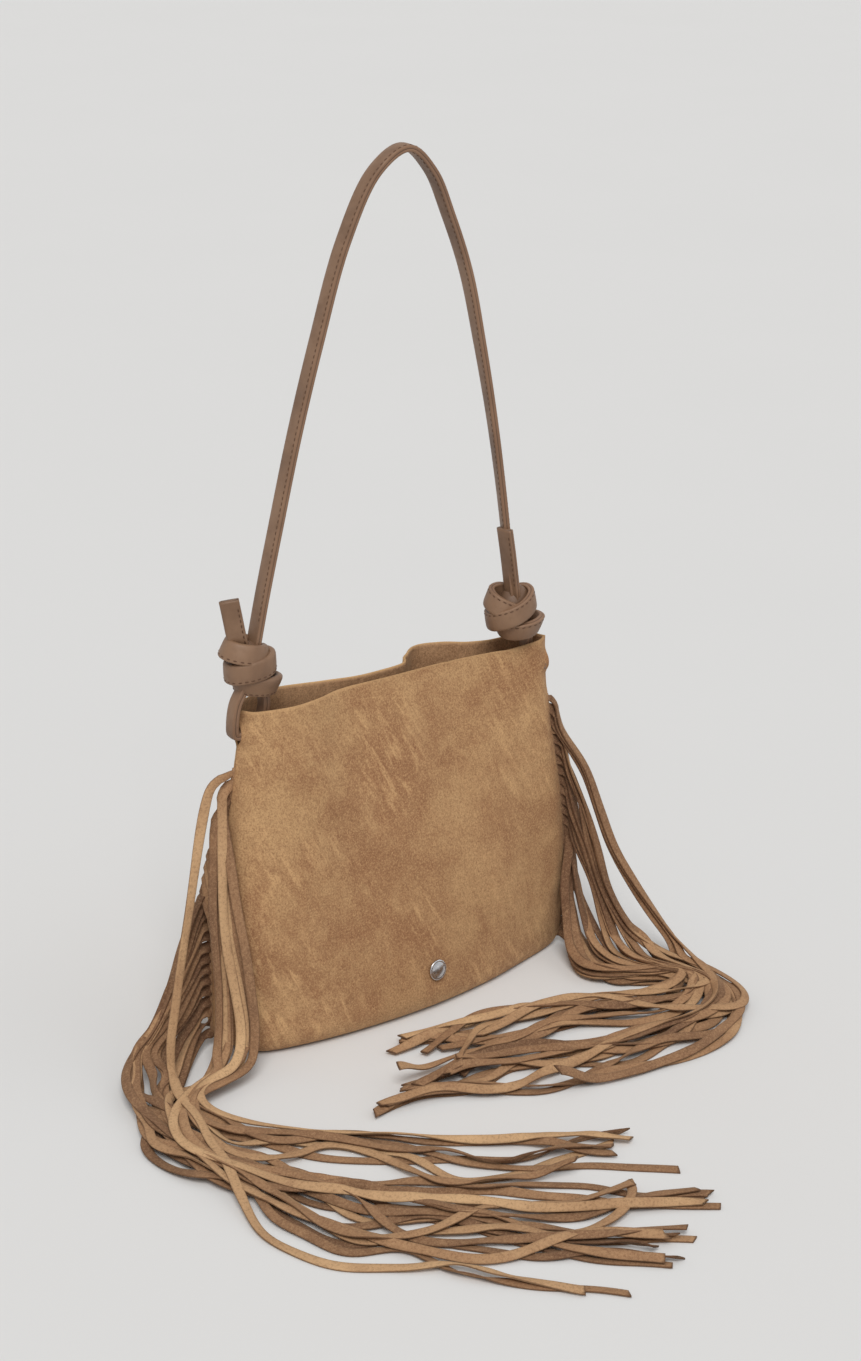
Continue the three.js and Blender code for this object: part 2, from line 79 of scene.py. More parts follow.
def smooth(x):
    t = np.clip(x, 0.0, 1.0)
    return t * t * (3 - 2 * t)


def mix(a, b, t):
    return a + (b - a) * t


def unit(v):
    """Each row of v at length 1."""
    return v / np.maximum(np.linalg.norm(v, axis=-1, keepdims=True), 1e-12)


def catmull(points, each=12):
    """A centripetal Catmull-Rom curve through the points, with that many steps in each span."""
    p = np.array(points, float)
    p = np.vstack([2 * p[0] - p[1], p, 2 * p[-1] - p[-2]])
    out = []
    for i in range(1, len(p) - 2):
        p0, p1, p2, p3 = p[i - 1 : i + 3]
        d = [max(np.linalg.norm(b - a) ** 0.5, 1e-6) for a, b in ((p0, p1), (p1, p2), (p2, p3))]
        m1 = ((p1 - p0) / d[0] - (p2 - p0) / (d[0] + d[1]) + (p2 - p1) / d[1]) * d[1]
        m2 = ((p2 - p1) / d[1] - (p3 - p1) / (d[1] + d[2]) + (p3 - p2) / d[2]) * d[1]
        t = (np.arange(each) / each)[:, None]
        square = -3 * p1 + 3 * p2 - 2 * m1 - m2
        cube = 2 * p1 - 2 * p2 + m1 + m2
        out.append(p1 + m1 * t + square * t**2 + cube * t**3)
    out.append(p[-2][None])
    return np.vstack(out)


def lengths_along(line):
    """Distance along a line at each of its points, from 0."""
    return np.concatenate([[0], np.cumsum(np.linalg.norm(np.diff(line, axis=0), axis=1))])


def at_lengths(rows, along, at):
    """Rows of values that are known at the distances along, read at other distances."""
    return np.stack([np.interp(at, along, column) for column in rows.T], axis=1)


def resample(line, count):
    """The same line at evenly spaced points."""
    along = lengths_along(line)
    return at_lengths(line, along, np.linspace(0, along[-1], count))


def blurred(values, radius):
    """Values smoothed along their first axis by a bell of that many samples."""
    reach = int(radius * 2.5) + 1
    bell = np.exp(-0.5 * (np.arange(-reach, reach + 1) / radius) ** 2)
    bell /= bell.sum()
    flat = values.reshape(len(values), -1)
    padded = np.pad(flat, ((reach, reach), (0, 0)), mode="edge")
    out = np.stack([np.convolve(column, bell, mode="valid") for column in padded.T], axis=1)
    return out.reshape(values.shape)


def tangents(line):
    return unit(np.gradient(line, axis=0))


def across_of(line, wide):
    """The given wide direction at each point of a line, made square to the line."""
    t = tangents(line)
    w = np.broadcast_to(wide, line.shape)
    return unit(w - (w * t).sum(axis=1, keepdims=True) * t)


def level_side(way):
    """The level direction square to each row of a direction."""
    return unit(np.stack([-way[:, 1], way[:, 0], np.zeros(len(way))], axis=1))


def quads(a, b):
    """The faces between two rows of point numbers, or between two stacks of rows."""
    return np.stack([a[..., :-1], a[..., 1:], b[..., 1:], b[..., :-1]], axis=-1).reshape(-1, 4).tolist()


def tube_faces(rings, sides):
    """The faces of a closed tube: its wall, and a flat end on its first and its last ring."""
    ring = np.arange(rings * sides).reshape(rings, sides)
    wall = np.append(ring, ring[:, :1], axis=1)
    return [*quads(wall[:-1], wall[1:]), ring[0, ::-1].tolist(), ring[-1].tolist()]


def new_mesh(name, points, faces, materials, face_materials=None, attributes=None):
    """A smooth mesh object from points in millimetres."""
    mesh = bpy.data.meshes.new(name)
    mesh.from_pydata((np.asarray(points) * MM).tolist(), [], faces)
    for material in materials:
        mesh.materials.append(material)
    if face_materials is not None:
        mesh.polygons.foreach_set("material_index", face_materials)
    for key, values in (attributes or {}).items():
        layer = mesh.attributes.new(key, "FLOAT", "POINT")
        layer.data.foreach_set("value", np.asarray(values, np.float32))
    mesh.validate()
    mesh.polygons.foreach_set("use_smooth", [True] * len(mesh.polygons))
    mesh.update()
    piece = bpy.data.objects.new(name, mesh)
    SCENE.collection.objects.link(piece)
    return piece


def finish_piece(piece, slot, *nodes):
    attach(piece, "root")
    if nodes:
        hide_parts(*nodes)


# Materials

def linear(r, g, b):
    """A screen colour of 0 to 255 as the shader's linear colour."""
    out = []
    for value in (r, g, b):
        c = value / 255
        out.append(c / 12.92 if c <= 0.04045 else ((c + 0.055) / 1.055) ** 2.4)
    return (*out, 1.0)


class Nodes:
    """A node tree that is filled by short calls."""

    def __init__(self, tree):
        self.tree = tree
        tree.nodes.clear()

    def put(self, node, key, value):
        socket = node.inputs[key]
        if isinstance(value, bpy.types.NodeSocket):
            self.tree.links.new(value, socket)
        else:
            socket.default_value = value

    def add(self, kind, inputs=None, **settings):
        node = self.tree.nodes.new("ShaderNode" + kind)
        for key, value in settings.items():
            setattr(node, key, value)
        for key, value in (inputs or {}).items():
            self.put(node, key, value)
        return node

    def maths(self, operation, a, b):
        return self.add("Math", {0: a, 1: b}, operation=operation).outputs[0]


class Finish(Nodes):
    """A procedural material round one Principled shader."""

    def __init__(self, name, **surface):
        self.material = bpy.data.materials.new(name)
        self.material.use_nodes = True
        super().__init__(self.material.node_tree)
        inputs = {key.replace("_", " "): value for key, value in surface.items()}
        self.shader = self.add("BsdfPrincipled", inputs)
        self.add("OutputMaterial", {"Surface": self.shader.outputs[0]})

    def place(self, turn=(0, 0, 0), scale=(1, 1, 1)):
        """The piece's own coordinates along turned axes, each with its own scale."""
        inputs = {"Vector": self.add("TexCoord").outputs["Object"], "Rotation": turn}
        inputs["Scale"] = tuple(1 / value for value in scale)
        return self.add("Mapping", inputs, vector_type="TEXTURE").outputs[0]

    def noise(self, scale, detail=3.0, vector=None, rough=0.55, distort=0.0):
        inputs = {"Scale": scale, "Detail": detail, "Roughness": rough, "Distortion": distort}
        inputs["Vector"] = vector or self.place()
        return self.add("TexNoise", inputs).outputs["Fac"]

    def span(self, value, low, high, to_low=0.0, to_high=1.0):
        """A value from low to high, brought to another range and held there."""
        inputs = {"Value": value, "From Min": low, "From Max": high, "To Min": to_low, "To Max": to_high}
        return self.add("MapRange", inputs).outputs[0]

    def blend(self, a, b, share):
        """Two colours mixed by a share."""
        return self.add("Mix", {0: share, 6: a, 7: b}, data_type="RGBA").outputs[2]

    def layers(self, colour, *rows):
        """A colour with others laid over it: (colour, value, from, to, share at from, share at to)."""
        for tint, *share in rows:
            colour = self.blend(colour, tint, self.span(*share))
        return colour

    def attribute(self, name):
        return self.add("Attribute", attribute_name=name).outputs["Fac"]

    def dressed(self, colour, rough, *bumps):
        """The material with its colour, its roughness and its bumps, each as (height, strength, distance)."""
        self.put(self.shader, "Base Color", colour)
        self.put(self.shader, "Roughness", rough)
        inputs = {}
        for height, strength, distance in bumps:
            inputs |= {"Height": height, "Strength": strength, "Distance": distance}
            inputs["Normal"] = self.add("Bump", inputs).outputs[0]
        self.put(self.shader, "Normal", inputs["Normal"])
        return self.material


def suede(name, turn, *colours):
    """Brushed suede: soft patches, a speckled nap, slanting brush strokes and a faint sheen."""
    sheen = {"Sheen_Weight": 0.2, "Sheen_Roughness": 0.45, "Sheen_Tint": linear(236, 208, 172)}
    f = Finish(name, Roughness=0.92, Specular_IOR_Level=0.22, **sheen)
    light, middle, dark = (linear(*colour) for colour in colours)
    deep = tuple(0.66 * value for value in dark[:3]) + (1.0,)
    pale = tuple(min(1.0, 1.22 * value) for value in light[:3]) + (1.0,)
    slant = (0.0, turn, 0.0)
    patches = f.noise(8.0, 2.0, distort=0.4)
    mottle = f.noise(34.0, 3.0, rough=0.6, distort=0.5)
    blotch = f.noise(1.0, 3.0, f.place(slant, (210, 210, 110)), 0.6)
    brushed = f.noise(1.0, 2.0, f.place(slant, (230, 230, 30)), 0.55, 0.15)
    zones = f.noise(13.0, 2.0, f.place((0.4, 0.1, 0.7)))
    strokes = f.maths("MULTIPLY", f.span(brushed, 0.5, 0.68), f.span(zones, 0.44, 0.58, 0.08, 1.0))
    speckle = f.noise(800.0, 2.0, rough=0.8)
    grain = f.noise(1300.0, 2.0, rough=0.75)
    fibres = f.noise(1.0, 3.0, f.place(slant, (1300, 1300, 360)), 0.7)
    colour = f.layers(
        dark,
        (middle, patches, 0.34, 0.56, 0.2, 1.0),
        (light, patches, 0.48, 0.7, 0.0, 0.45),
        (dark, mottle, 0.5, 0.68, 0.0, 0.8),
        (light, mottle, 0.5, 0.34, 0.0, 0.65),
        (dark, blotch, 0.5, 0.72, 0.0, 0.3),
        (light, blotch, 0.5, 0.3, 0.0, 0.25),
        (pale, strokes, 0.0, 1.0, 0.0, 0.7),
        (deep, speckle, 0.5, 0.68, 0.0, 0.55),
        (pale, speckle, 0.5, 0.32, 0.0, 0.5),
        (pale, grain, 0.5, 0.7, 0.0, 0.35),
        (deep, fibres, 0.5, 0.72, 0.0, 0.45),
        # A lighter top rim: a painted highlight along the panels' rounded top edge.
        (light, f.attribute("rim"), 0.25, 1.0, 0.0, 0.6),
        (dark, f.attribute("shade"), 0.0, 1.0, 0.0, 0.32),
    )
    bumps = ((speckle, 0.3, 0.0006), (fibres, 0.3, 0.0005), (grain, 0.4, 0.0004))
    return f.dressed(colour, f.span(mottle, 0.3, 0.7, 0.86, 0.98), *bumps)


def lace_suede(name, *colours):
    """The fringe: each lace has a tone of its own, darkened as painted shade deep in the pile, while hanging
    and at its root; its cut edges are darker.
    """
    sheen = {"Sheen_Weight": 0.15, "Sheen_Roughness": 0.45, "Sheen_Tint": linear(236, 205, 165)}
    f = Finish(name, Roughness=0.9, Specular_IOR_Level=0.25, **sheen)
    light, middle, dark, cut = (linear(*colour) for colour in colours)
    patches = f.noise(38.0, 3.0, distort=0.4)
    speckle = f.noise(620.0, 3.0, rough=0.8)
    grain = f.noise(1500.0, 2.0, rough=0.75)
    tone = f.maths("MULTIPLY", f.attribute("tone"), 0.78)
    broad = f.maths("ADD", tone, f.span(patches, 0.3, 0.7, 0, 0.22))
    colour = f.layers(
        dark,
        (middle, broad, 0.05, 0.5),
        (light, broad, 0.5, 0.95),
        (cut, speckle, 0.5, 0.68, 0.0, 0.45),
        (light, speckle, 0.5, 0.3, 0.0, 0.3),
        (light, grain, 0.5, 0.72, 0.0, 0.25),
        (cut, f.attribute("cut"), 0.3, 1.0, 0.0, 0.9),
    )
    bumps = ((speckle, 0.3, 0.0005), (grain, 0.35, 0.0004))
    return f.dressed(colour, f.span(speckle, 0.3, 0.7, 0.84, 0.97), *bumps)


def leather(name, *colours):
    """Smooth strap leather: a fine closed grain, a dull shine, a dark groove, painted shade on the knot cores
    and lighter raw edges.
    """
    f = Finish(name, Roughness=0.5, Specular_IOR_Level=0.4, Coat_Weight=0.06, Coat_Roughness=0.35)
    light, middle, dark, groove, raw = (linear(*colour) for colour in colours)
    patches = f.noise(26.0, 3.0, distort=0.5)
    mottle = f.noise(180.0, 3.0)
    pores = f.add("TexVoronoi", {"Vector": f.place(), "Scale": 1500.0}).outputs["Distance"]
    creases = f.noise(1.0, 3.0, f.place((0.3, 0.2, 0.5), (520, 190, 430)), 0.6, 0.7)
    colour = f.layers(
        dark,
        (middle, patches, 0.3, 0.55),
        (light, patches, 0.5, 0.75, 0.0, 0.8),
        (dark, mottle, 0.52, 0.8, 0.0, 0.3),
        # The groove's dark colour also lies on the knots' cores as painted shade.
        (groove, f.attribute("groove"), 0.1, 1.0, 0.0, 0.9),
        (raw, f.attribute("raw"), 0.2, 1.0, 0.0, 0.5),
    )
    bumps = ((pores, 0.22, 0.0002), (creases, 0.28, 0.0004))
    return f.dressed(colour, f.span(mottle, 0.3, 0.7, 0.44, 0.62), *bumps)


def thread(name, colour, dark):
    f = Finish(name, Specular_IOR_Level=0.35)
    waves = f.add("TexWave", {"Vector": f.place((0, 0.7, 0)), "Scale": 900.0, "Distortion": 1.0})
    strands = waves.outputs["Fac"]
    colour = f.layers(linear(*colour), (linear(*dark), strands, 0.2, 0.9, 0.0, 0.6))
    return f.dressed(colour, 0.6, (strands, 0.3, 0.0002))


def polished_metal(name, colour, dull):
    """Bright plated metal with the finest of scratches."""
    f = Finish(name, Metallic=1.0, Roughness=0.2)
    scratches = f.noise(1.0, 2.0, f.place((0, 0.6, 0), (900, 900, 6000)), 0.5)
    patina = f.noise(300.0, 2.0)
    colour = f.layers(linear(*colour), (linear(*dull), patina, 0.35, 0.7))
    return f.dressed(colour, f.span(scratches, 0.35, 0.7, 0.16, 0.3), (scratches, 0.05, 0.0001))


FRONT_SUEDE = suede("front_suede", -0.43, (192, 154, 111), (174, 135, 96), (149, 106, 75))
BACK_SUEDE = suede("back_suede", -0.4, (200, 161, 114), (180, 141, 97), (150, 111, 74))
INNER_SUEDE = suede("inner_suede", 0.2, (196, 156, 118), (178, 139, 103), (150, 113, 82))
LACE_SUEDE = lace_suede("fringe_suede", (204, 167, 126), (160, 122, 90), (108, 77, 57), (88, 61, 43))
STRAP_LEATHER = leather(
    "strap_leather", (144, 113, 88), (129, 99, 76), (108, 81, 61), (70, 47, 34), (140, 106, 82)
)
STRAP_THREAD = thread("strap_thread", (98, 68, 48), (64, 43, 30))
STUD_METAL = polished_metal("stud_metal", (222, 222, 224), (186, 187, 190))


# The bag's body, with the same sizes as the CAD part

TOP_HALF_WIDTH = 119.5
WAIST_HALF_WIDTH = 141.0
CORNER_INSET = 12.0
BAG_HEIGHT = 229.0
FRONT_DEPTH = 44.0
BACK_DEPTH = 40.0
FOOT_INSET = 14.0
CORNER_HEIGHT = 17.0
SUEDE_THICK = 1.6
BASE_SEAM_Y = 8.0
MOUTH_EASING = 1.35
TAPER_START = 0.3
HEADER_TOP = 191.2
HEADER_BOTTOM = 5.8
STRAP_HOLE_Z = 213.0
STUD_X = 9.0
STUD_Z = 31.0

# The scene's own: how far the rim rises at its right corner, and how fine the panels' mesh is.
RIM_RISE = 4.5
PANEL_COLUMNS = 150
FOOT_ROWS = 8
CORNER_ROWS = 12
WALL_ROWS = 105


def half_width(z):
    """Half the bag's width at a height."""
    corner = np.minimum(1, np.asarray(z, float) / CORNER_HEIGHT)
    low = WAIST_HALF_WIDTH - CORNER_INSET * (1 - np.sqrt(1 - (1 - corner) ** 2))
    taper = smooth((np.asarray(z) / BAG_HEIGHT - TAPER_START) / (1 - TAPER_START))
    return low - (WAIST_HALF_WIDTH - TOP_HALF_WIDTH) * taper


def profile(*pairs):
    """A smooth curve through (share of the half width, value) pairs, as a function of the share."""
    line = catmull([(x, value, 0) for x, value in pairs])
    return lambda x: np.interp(x, line[:, 0], line[:, 1])


front_fullness = profile(
    (-1, 0), (-0.95, 0.5), (-0.85, 0.82), (-0.5, 1), (0, 0.97), (0.43, 0.72), (0.74, 0.38), (0.93, 0.14),
    (1, 0),
)
back_fullness = profile(
    (-1, 0), (-0.95, 0.42), (-0.8, 0.76), (-0.4, 0.98), (0, 1), (0.4, 0.96), (0.8, 0.7), (0.95, 0.4),
    (1, 0),
)
front_mouth = profile(
    (-1, 0), (-0.9, -10), (-0.72, -13), (-0.56, -10), (-0.38, -3), (-0.2, 0), (0.1, 1.5), (0.5, 2),
    (0.76, -1), (0.92, -5), (1, 0),
)
back_mouth = profile(
    (-1, 0), (-0.86, 17), (-0.66, 23), (-0.38, 18), (-0.12, 13), (0.04, 14), (0.2, 27), (0.36, 38),
    (0.48, 36), (0.64, 26), (0.84, 19), (0.94, 13), (1, 0),
)


# Each panel's depth at the base, its fullness and its mouth, for the front (-1) and the back (1).
PANELS = {
    -1: (FRONT_DEPTH, front_fullness, front_mouth),
    1: (BACK_DEPTH, back_fullness, back_mouth),
}


def seam_half_gap(z):
    """Half the space between the panels at the seams: room for the fringe's strip and the strap's hole."""
    strip = mix(0.85, 0.12, smooth((z - HEADER_TOP) / 5))
    hole = 4.5 * np.exp(-(np.abs(z - STRAP_HOLE_Z) / 6.0) ** 3)
    return np.maximum(strip, hole)


def soft_folds(side, x, z):
    """How far the suede stands off its plain shape: broad, soft folds, and puckers at the seams."""
    share = x / half_width(z)
    if side < 0:
        along = (x + 98) * 0.62 - (z - 214) * 0.78
        off = (x + 98) * 0.78 + (z - 214) * 0.62
        fold = 1.9 * np.exp(-((off / 11) ** 2)) * smooth(along / 30) * (1 - smooth((along - 70) / 90))
        hollow = -1.6 * np.exp(-(((x - 40) / 26) ** 2 + ((z - 176) / 60) ** 2))
        ripple = 0.7 * np.sin(x / 17 + z / 29 + 0.6) * np.sin(z / 33 - x / 61 + 1.1)
        off_stud = smooth((np.hypot(x - STUD_X, z - STUD_Z) - 8) / 14)
        total = (fold + hollow + ripple) * off_stud
    else:
        fold = 2.2 * np.exp(-(((x - 46) / 13) ** 2)) * smooth((z - 90) / 120)
        sag = -1.8 * np.exp(-(((x + 35) / 30) ** 2 + ((z - 150) / 60) ** 2))
        ripple = 0.8 * np.sin(x / 19 - z / 31 + 2.0) * np.sin(z / 27 + x / 57)
        total = fold + sag + ripple
    inside_edges = smooth((1 - np.abs(share)) / 0.12) * smooth(z / 20)
    near_seam = np.exp(-(1 - np.abs(share)) * half_width(z) / 9.0)
    puckers = 0.55 * near_seam * np.sin(z / 3.9 + 1.3 * np.sin(z / 23)) * smooth(z / 25)
    fades = smooth((1 - np.abs(share)) / 0.03)
    return total * inside_edges + puckers * fades


def wall_points(side, s, z):
    """Points of a panel's outer face, at shares s of the half width."""
    depth, fullness, mouth = PANELS[side]
    corner = np.minimum(1, z / CORNER_HEIGHT)
    low = depth - FOOT_INSET * (1 - np.sqrt(1 - (1 - corner) ** 2))
    easing = (z / BAG_HEIGHT) ** MOUTH_EASING
    y = side * mix(low * fullness(s), side * mouth(s), easing)
    x = s * half_width(z)
    gap = seam_half_gap(z) * np.exp(-((1 - np.abs(s)) / 0.035) ** 1.5)
    rise = RIM_RISE * smooth((s - 0.72) / 0.28) * easing**4
    return np.stack([x, y + side * (gap + soft_folds(side, x, z)), z + rise], axis=-1)


def panel_piece(side, name, node, outer_material, slot):
    """One panel: a closed sheet of even thickness with a soft rim, from the base seam up to the mouth."""
    columns = PANEL_COLUMNS
    s = np.sin((np.linspace(0, 1, columns) - 0.5) * math.pi) * 0.75 + np.linspace(-1, 1, columns) * 0.25
    corner_z = CORNER_HEIGHT * (1 - np.cos(np.linspace(0, 1, CORNER_ROWS + 1)[:-1] * math.pi / 2))
    heights = np.concatenate([corner_z, np.linspace(CORNER_HEIGHT, BAG_HEIGHT, WALL_ROWS)])
    wall = np.stack([wall_points(side, s, np.full(columns, z)) for z in heights])
    edge = wall[0]
    inmost, outmost = (np.maximum, np.minimum) if side < 0 else (np.minimum, np.maximum)
    seam = BASE_SEAM_Y * (1 - s**4) + side * 0.1
    start = inmost(seam, edge[:, 1] - side * 0.2)
    shares = np.linspace(0, 1, FOOT_ROWS + 1)[:-1]
    foot = [np.stack([edge[:, 0], mix(start, edge[:, 1], share), 0 * s], axis=-1) for share in shares]
    outer = np.concatenate([foot, wall])
    rows = len(outer)
    normal = unit(np.cross(np.gradient(outer, axis=1), np.gradient(outer, axis=0))) * -side
    inner = outer - unit(blurred(normal, 1.2)) * SUEDE_THICK
    inner[:FOOT_ROWS, :, 2] = SUEDE_THICK
    inner[:FOOT_ROWS, :, :2] = outer[:FOOT_ROWS, :, :2]
    seam_line = np.where(np.arange(rows)[:, None] < FOOT_ROWS, seam, side * 0.1)
    inner[..., 1] = outmost(inner[..., 1], inmost(seam_line, outer[..., 1]))
    middle_top = (outer[-1] + inner[-1]) / 2 + np.array([0, 0, 0.45])
    points = np.concatenate([outer.reshape(-1, 3), inner.reshape(-1, 3), middle_top])
    skin = np.arange(rows * columns).reshape(rows, columns)
    back = skin + rows * columns
    top = np.arange(columns) + 2 * rows * columns
    faces = quads(back.T[:-1], back.T[1:])
    kinds = [1] * len(faces)
    faces += quads(skin[:-1], skin[1:])
    faces += quads(skin[0, ::-1], back[0, ::-1]) + quads(skin[-1], top) + quads(top, back[-1])
    faces += quads(skin[:, 0], back[:, 0]) + quads(skin[::-1, -1], back[::-1, -1])
    corners = ((skin[-1, 0], top[0], back[-1, 0]), (back[-1, -1], top[-1], skin[-1, -1]))
    faces += np.array(corners).tolist()
    faces = faces if side < 0 else [face[::-1] for face in faces]
    kinds += [0] * (len(faces) - len(kinds))
    # rim: the band just under the top edge, lightened in the material as a painted highlight.
    below_rim = (outer[-1:, :, 2] - outer[:, :, 2]).reshape(-1)
    below_rim = np.concatenate([below_rim, below_rim, np.zeros(columns)])
    rim = np.exp(-np.maximum(0, below_rim) / 0.9)
    half = half_width(points[:, 2])
    to_seam = (1 - np.abs(points[:, 0]) / half_width(np.maximum(points[:, 2], 0))) * half
    shade = np.exp(-np.maximum(to_seam, 0) / 2.5) * (1 - rim)
    piece = new_mesh(name, points, faces, [outer_material, INNER_SUEDE], kinds, {"rim": rim, "shade": shade})
    finish_piece(piece, slot, node)


panel_piece(-1, "front_suede_panel", "front_panel", FRONT_SUEDE, "front_suede")
panel_piece(1, "back_suede_panel", "back_panel", BACK_SUEDE, "back_suede")


# Sweeps

def sweep(line, wide, section):
    """A section of (across, up) points carried along a line. Returns points and faces of a closed tube."""
    up = np.cross(tangents(line), wide)
    section = np.asarray(section, float)
    section = np.broadcast_to(section, (len(line), *section.shape[-2:]))
    points = line[:, None] + wide[:, None] * section[:, :, :1] + up[:, None] * section[:, :, 1:]
    return points.reshape(-1, 3), tube_faces(*points.shape[:2])


def joined(shells):
    """Several (points, faces, values) shells as one."""
    points, shell_faces, shell_values = zip(*shells)
    faces = []
    offset = 0
    for shell_points, more in zip(points, shell_faces):
        faces += [[v + offset for v in face] for face in more]
        offset += len(shell_points)
    values = {key: np.concatenate([row[key] for row in shell_values]) for key in shell_values[0]}
    return np.concatenate(points), faces, values


# Fringe

LACE_COUNT = 24
LACE_WIDTH = 6.4
LACE_THICK = 1.25
LACE_STEP = 3.0
FRINGE_TOP = 188.0
FRINGE_BOTTOM = 9.0
HEADER_THICK = 1.5
HEADER_WIDTH = 9.0
HEADER_OUT = 1.2
MOST_WAVE = 7.0
LOOSE_PILE = 3.0
PILE_SETTLES = 0.76
ROOT_WIDTH_SHARE = 1.19
TOP_ROOT_SHARE = 0.7
ROOT_TAPER = 12.0
LONGEST_LACE = 600.0
# The usual tone falls from the top lace down: painted shade, since laces with lower roots are laid first and
# lie deeper in the pile.
TOP_TONE = 0.72
PILE_SHADE_FALL = 0.42
SWAP_SHARE = 0.4
CURLED_SHARE = 0.14
MOST_CURL = 15.0
CURL_LENGTH = 38.0

# Each fringe hangs in two branches. A branch has two edges, as (height, x, y): "front" comes down before the
# bag's corner, and "outer" stands off to the side. Where the laces lie, they fill a band between two edges
# that match point for point, as (x, y), and end at the tips.
LEFT = {
    "front": (
        [(182, -132, -4), (173, -133, -6), (142, -135, -14), (111, -135, -22), (86, -134, -30),
         (60, -133, -38), (35, -133, -46), (17, -137, -51), (5, -147, -54)],
        [(182, -134, -2), (173, -137, -3), (148, -141, -6), (129, -144, -8), (109, -146, -10),
         (84, -148, -13), (58, -149, -18), (36, -151, -24), (20, -156, -32), (5, -164, -42)],
    ),
    "outer": (
        [(186, -142, -1), (160, -148, -2), (120, -151, -2), (90, -154, -2), (66, -159, -3), (51, -163, -4),
         (36, -171, -7), (20, -181, -11), (8, -192, -16)],
        [(186, -142, -1), (160, -149, -2), (120, -156, -2), (96, -161, -2), (76, -166, -2), (49, -174, -3),
         (26, -189, -7), (14, -202, -11), (5, -216, -18)],
    ),
    "near_floor": [(-150, -56), (-162, -58), (-176, -61), (-188, -67), (-192, -80), (-186, -102),
                   (-160, -130), (-110, -167), (-58, -203), (-15, -228), (13, -246)],
    "far_floor": [(-218, -24), (-229, -42), (-239, -72), (-245, -104), (-238, -140), (-227, -182),
                  (-214, -224), (-203, -258), (-188, -286), (-150, -325), (-93, -383)],
    "tips": [(13, -247), (-3, -248), (-11, -256), (-16, -266), (-34, -277), (-41, -285), (-50, -262),
             (-62, -275), (-70, -262), (15, -289), (8, -321), (11, -339), (-7, -356), (-29, -351),
             (-52, -353), (-52, -369), (-93, -385), (-133, -332), (-148, -348), (-90, -300), (-110, -310)],
    "outer_numbers": range(10, 24),
    "front_place": lambda share, rng: rng.uniform(0.05, 1.0),
    "outer_place": lambda share, rng: 1.0 - (share - 0.43) / 0.57 * 0.8 + 0.12 * rng.normal(),
    "first_lane": ((0.0, 0.36), (0.4, 1.0)),
    "last_lane": ((0.0, 0.66), (0.12, 1.0)),
    "arch": ((5.5, 4.5, 1.5), (13.0, 0.0, 3.0)),
    "bulge": (36, -12),
    "shortest": 330.0,
    "tone": -0.12,
    "hang_shade": -0.08,
}
RIGHT = {
    "front": (
        [(182, 127, -2), (141, 133, -4), (98, 136, -6), (63, 134, -9), (40, 131, -14), (22, 126, -24),
         (10, 121, -38), (4, 120, -48)],
        [(182, 130, -2), (160, 136, -4), (140, 141, -6), (118, 147, -10), (97, 152, -16), (79, 155, -22),
         (58, 158, -30), (37, 164, -40), (20, 171, -51), (6, 178, -62)],
    ),
    "outer": (
        [(184, 129, -1), (172, 131, -3), (155, 140, -6), (136, 146, -9), (118, 150, -14), (97, 155, -20),
         (82, 159, -25), (65, 165, -32), (42, 175, -43), (24, 183, -54), (10, 189, -66)],
        [(186, 129, -1), (172, 133, -3), (155, 143, -6), (136, 150, -10), (118, 155, -15), (97, 159, -21),
         (82, 163, -26), (65, 170, -33), (42, 181, -44), (24, 190, -55), (10, 195, -68)],
    ),
    "near_floor": [(121, -58), (131, -73), (149, -82), (167, -87), (173, -95), (156, -103),
                   (118, -94), (72, -82), (25, -73), (-13, -67), (-39, -66)],
    "far_floor": [(194, -80), (198, -96), (199, -116), (190, -142), (172, -160), (145, -175),
                  (112, -183), (60, -179), (8, -162), (-40, -148), (-97, -129)],
    "tips": [(-36, -63), (-39, -68), (-22, -83), (2, -94), (-10, -100), (-22, -111), (-33, -121),
             (-51, -130), (-78, -125), (-81, -130), (-97, -128), (-101, -133), (9, -151), (34, -177),
             (20, -120), (40, -150)],
    "outer_numbers": range(0, 3),
    "front_place": lambda share, rng: 1.0 - share + 0.22 * rng.normal(),
    "outer_place": lambda share, rng: rng.uniform(0.4, 1.0),
    "first_lane": ((0.0, 0.75), (0.8, 1.0)),
    "last_lane": ((0.02, 1.0), (0.3, 1.0)),
    "arch": ((5.0, 3.8, 1.5), (3.5, 2.5, 1.5)),
    "bulge": (0, 0),
    "shortest": 300.0,
    "tone": -0.08,
    "hang_shade": -0.42,
}

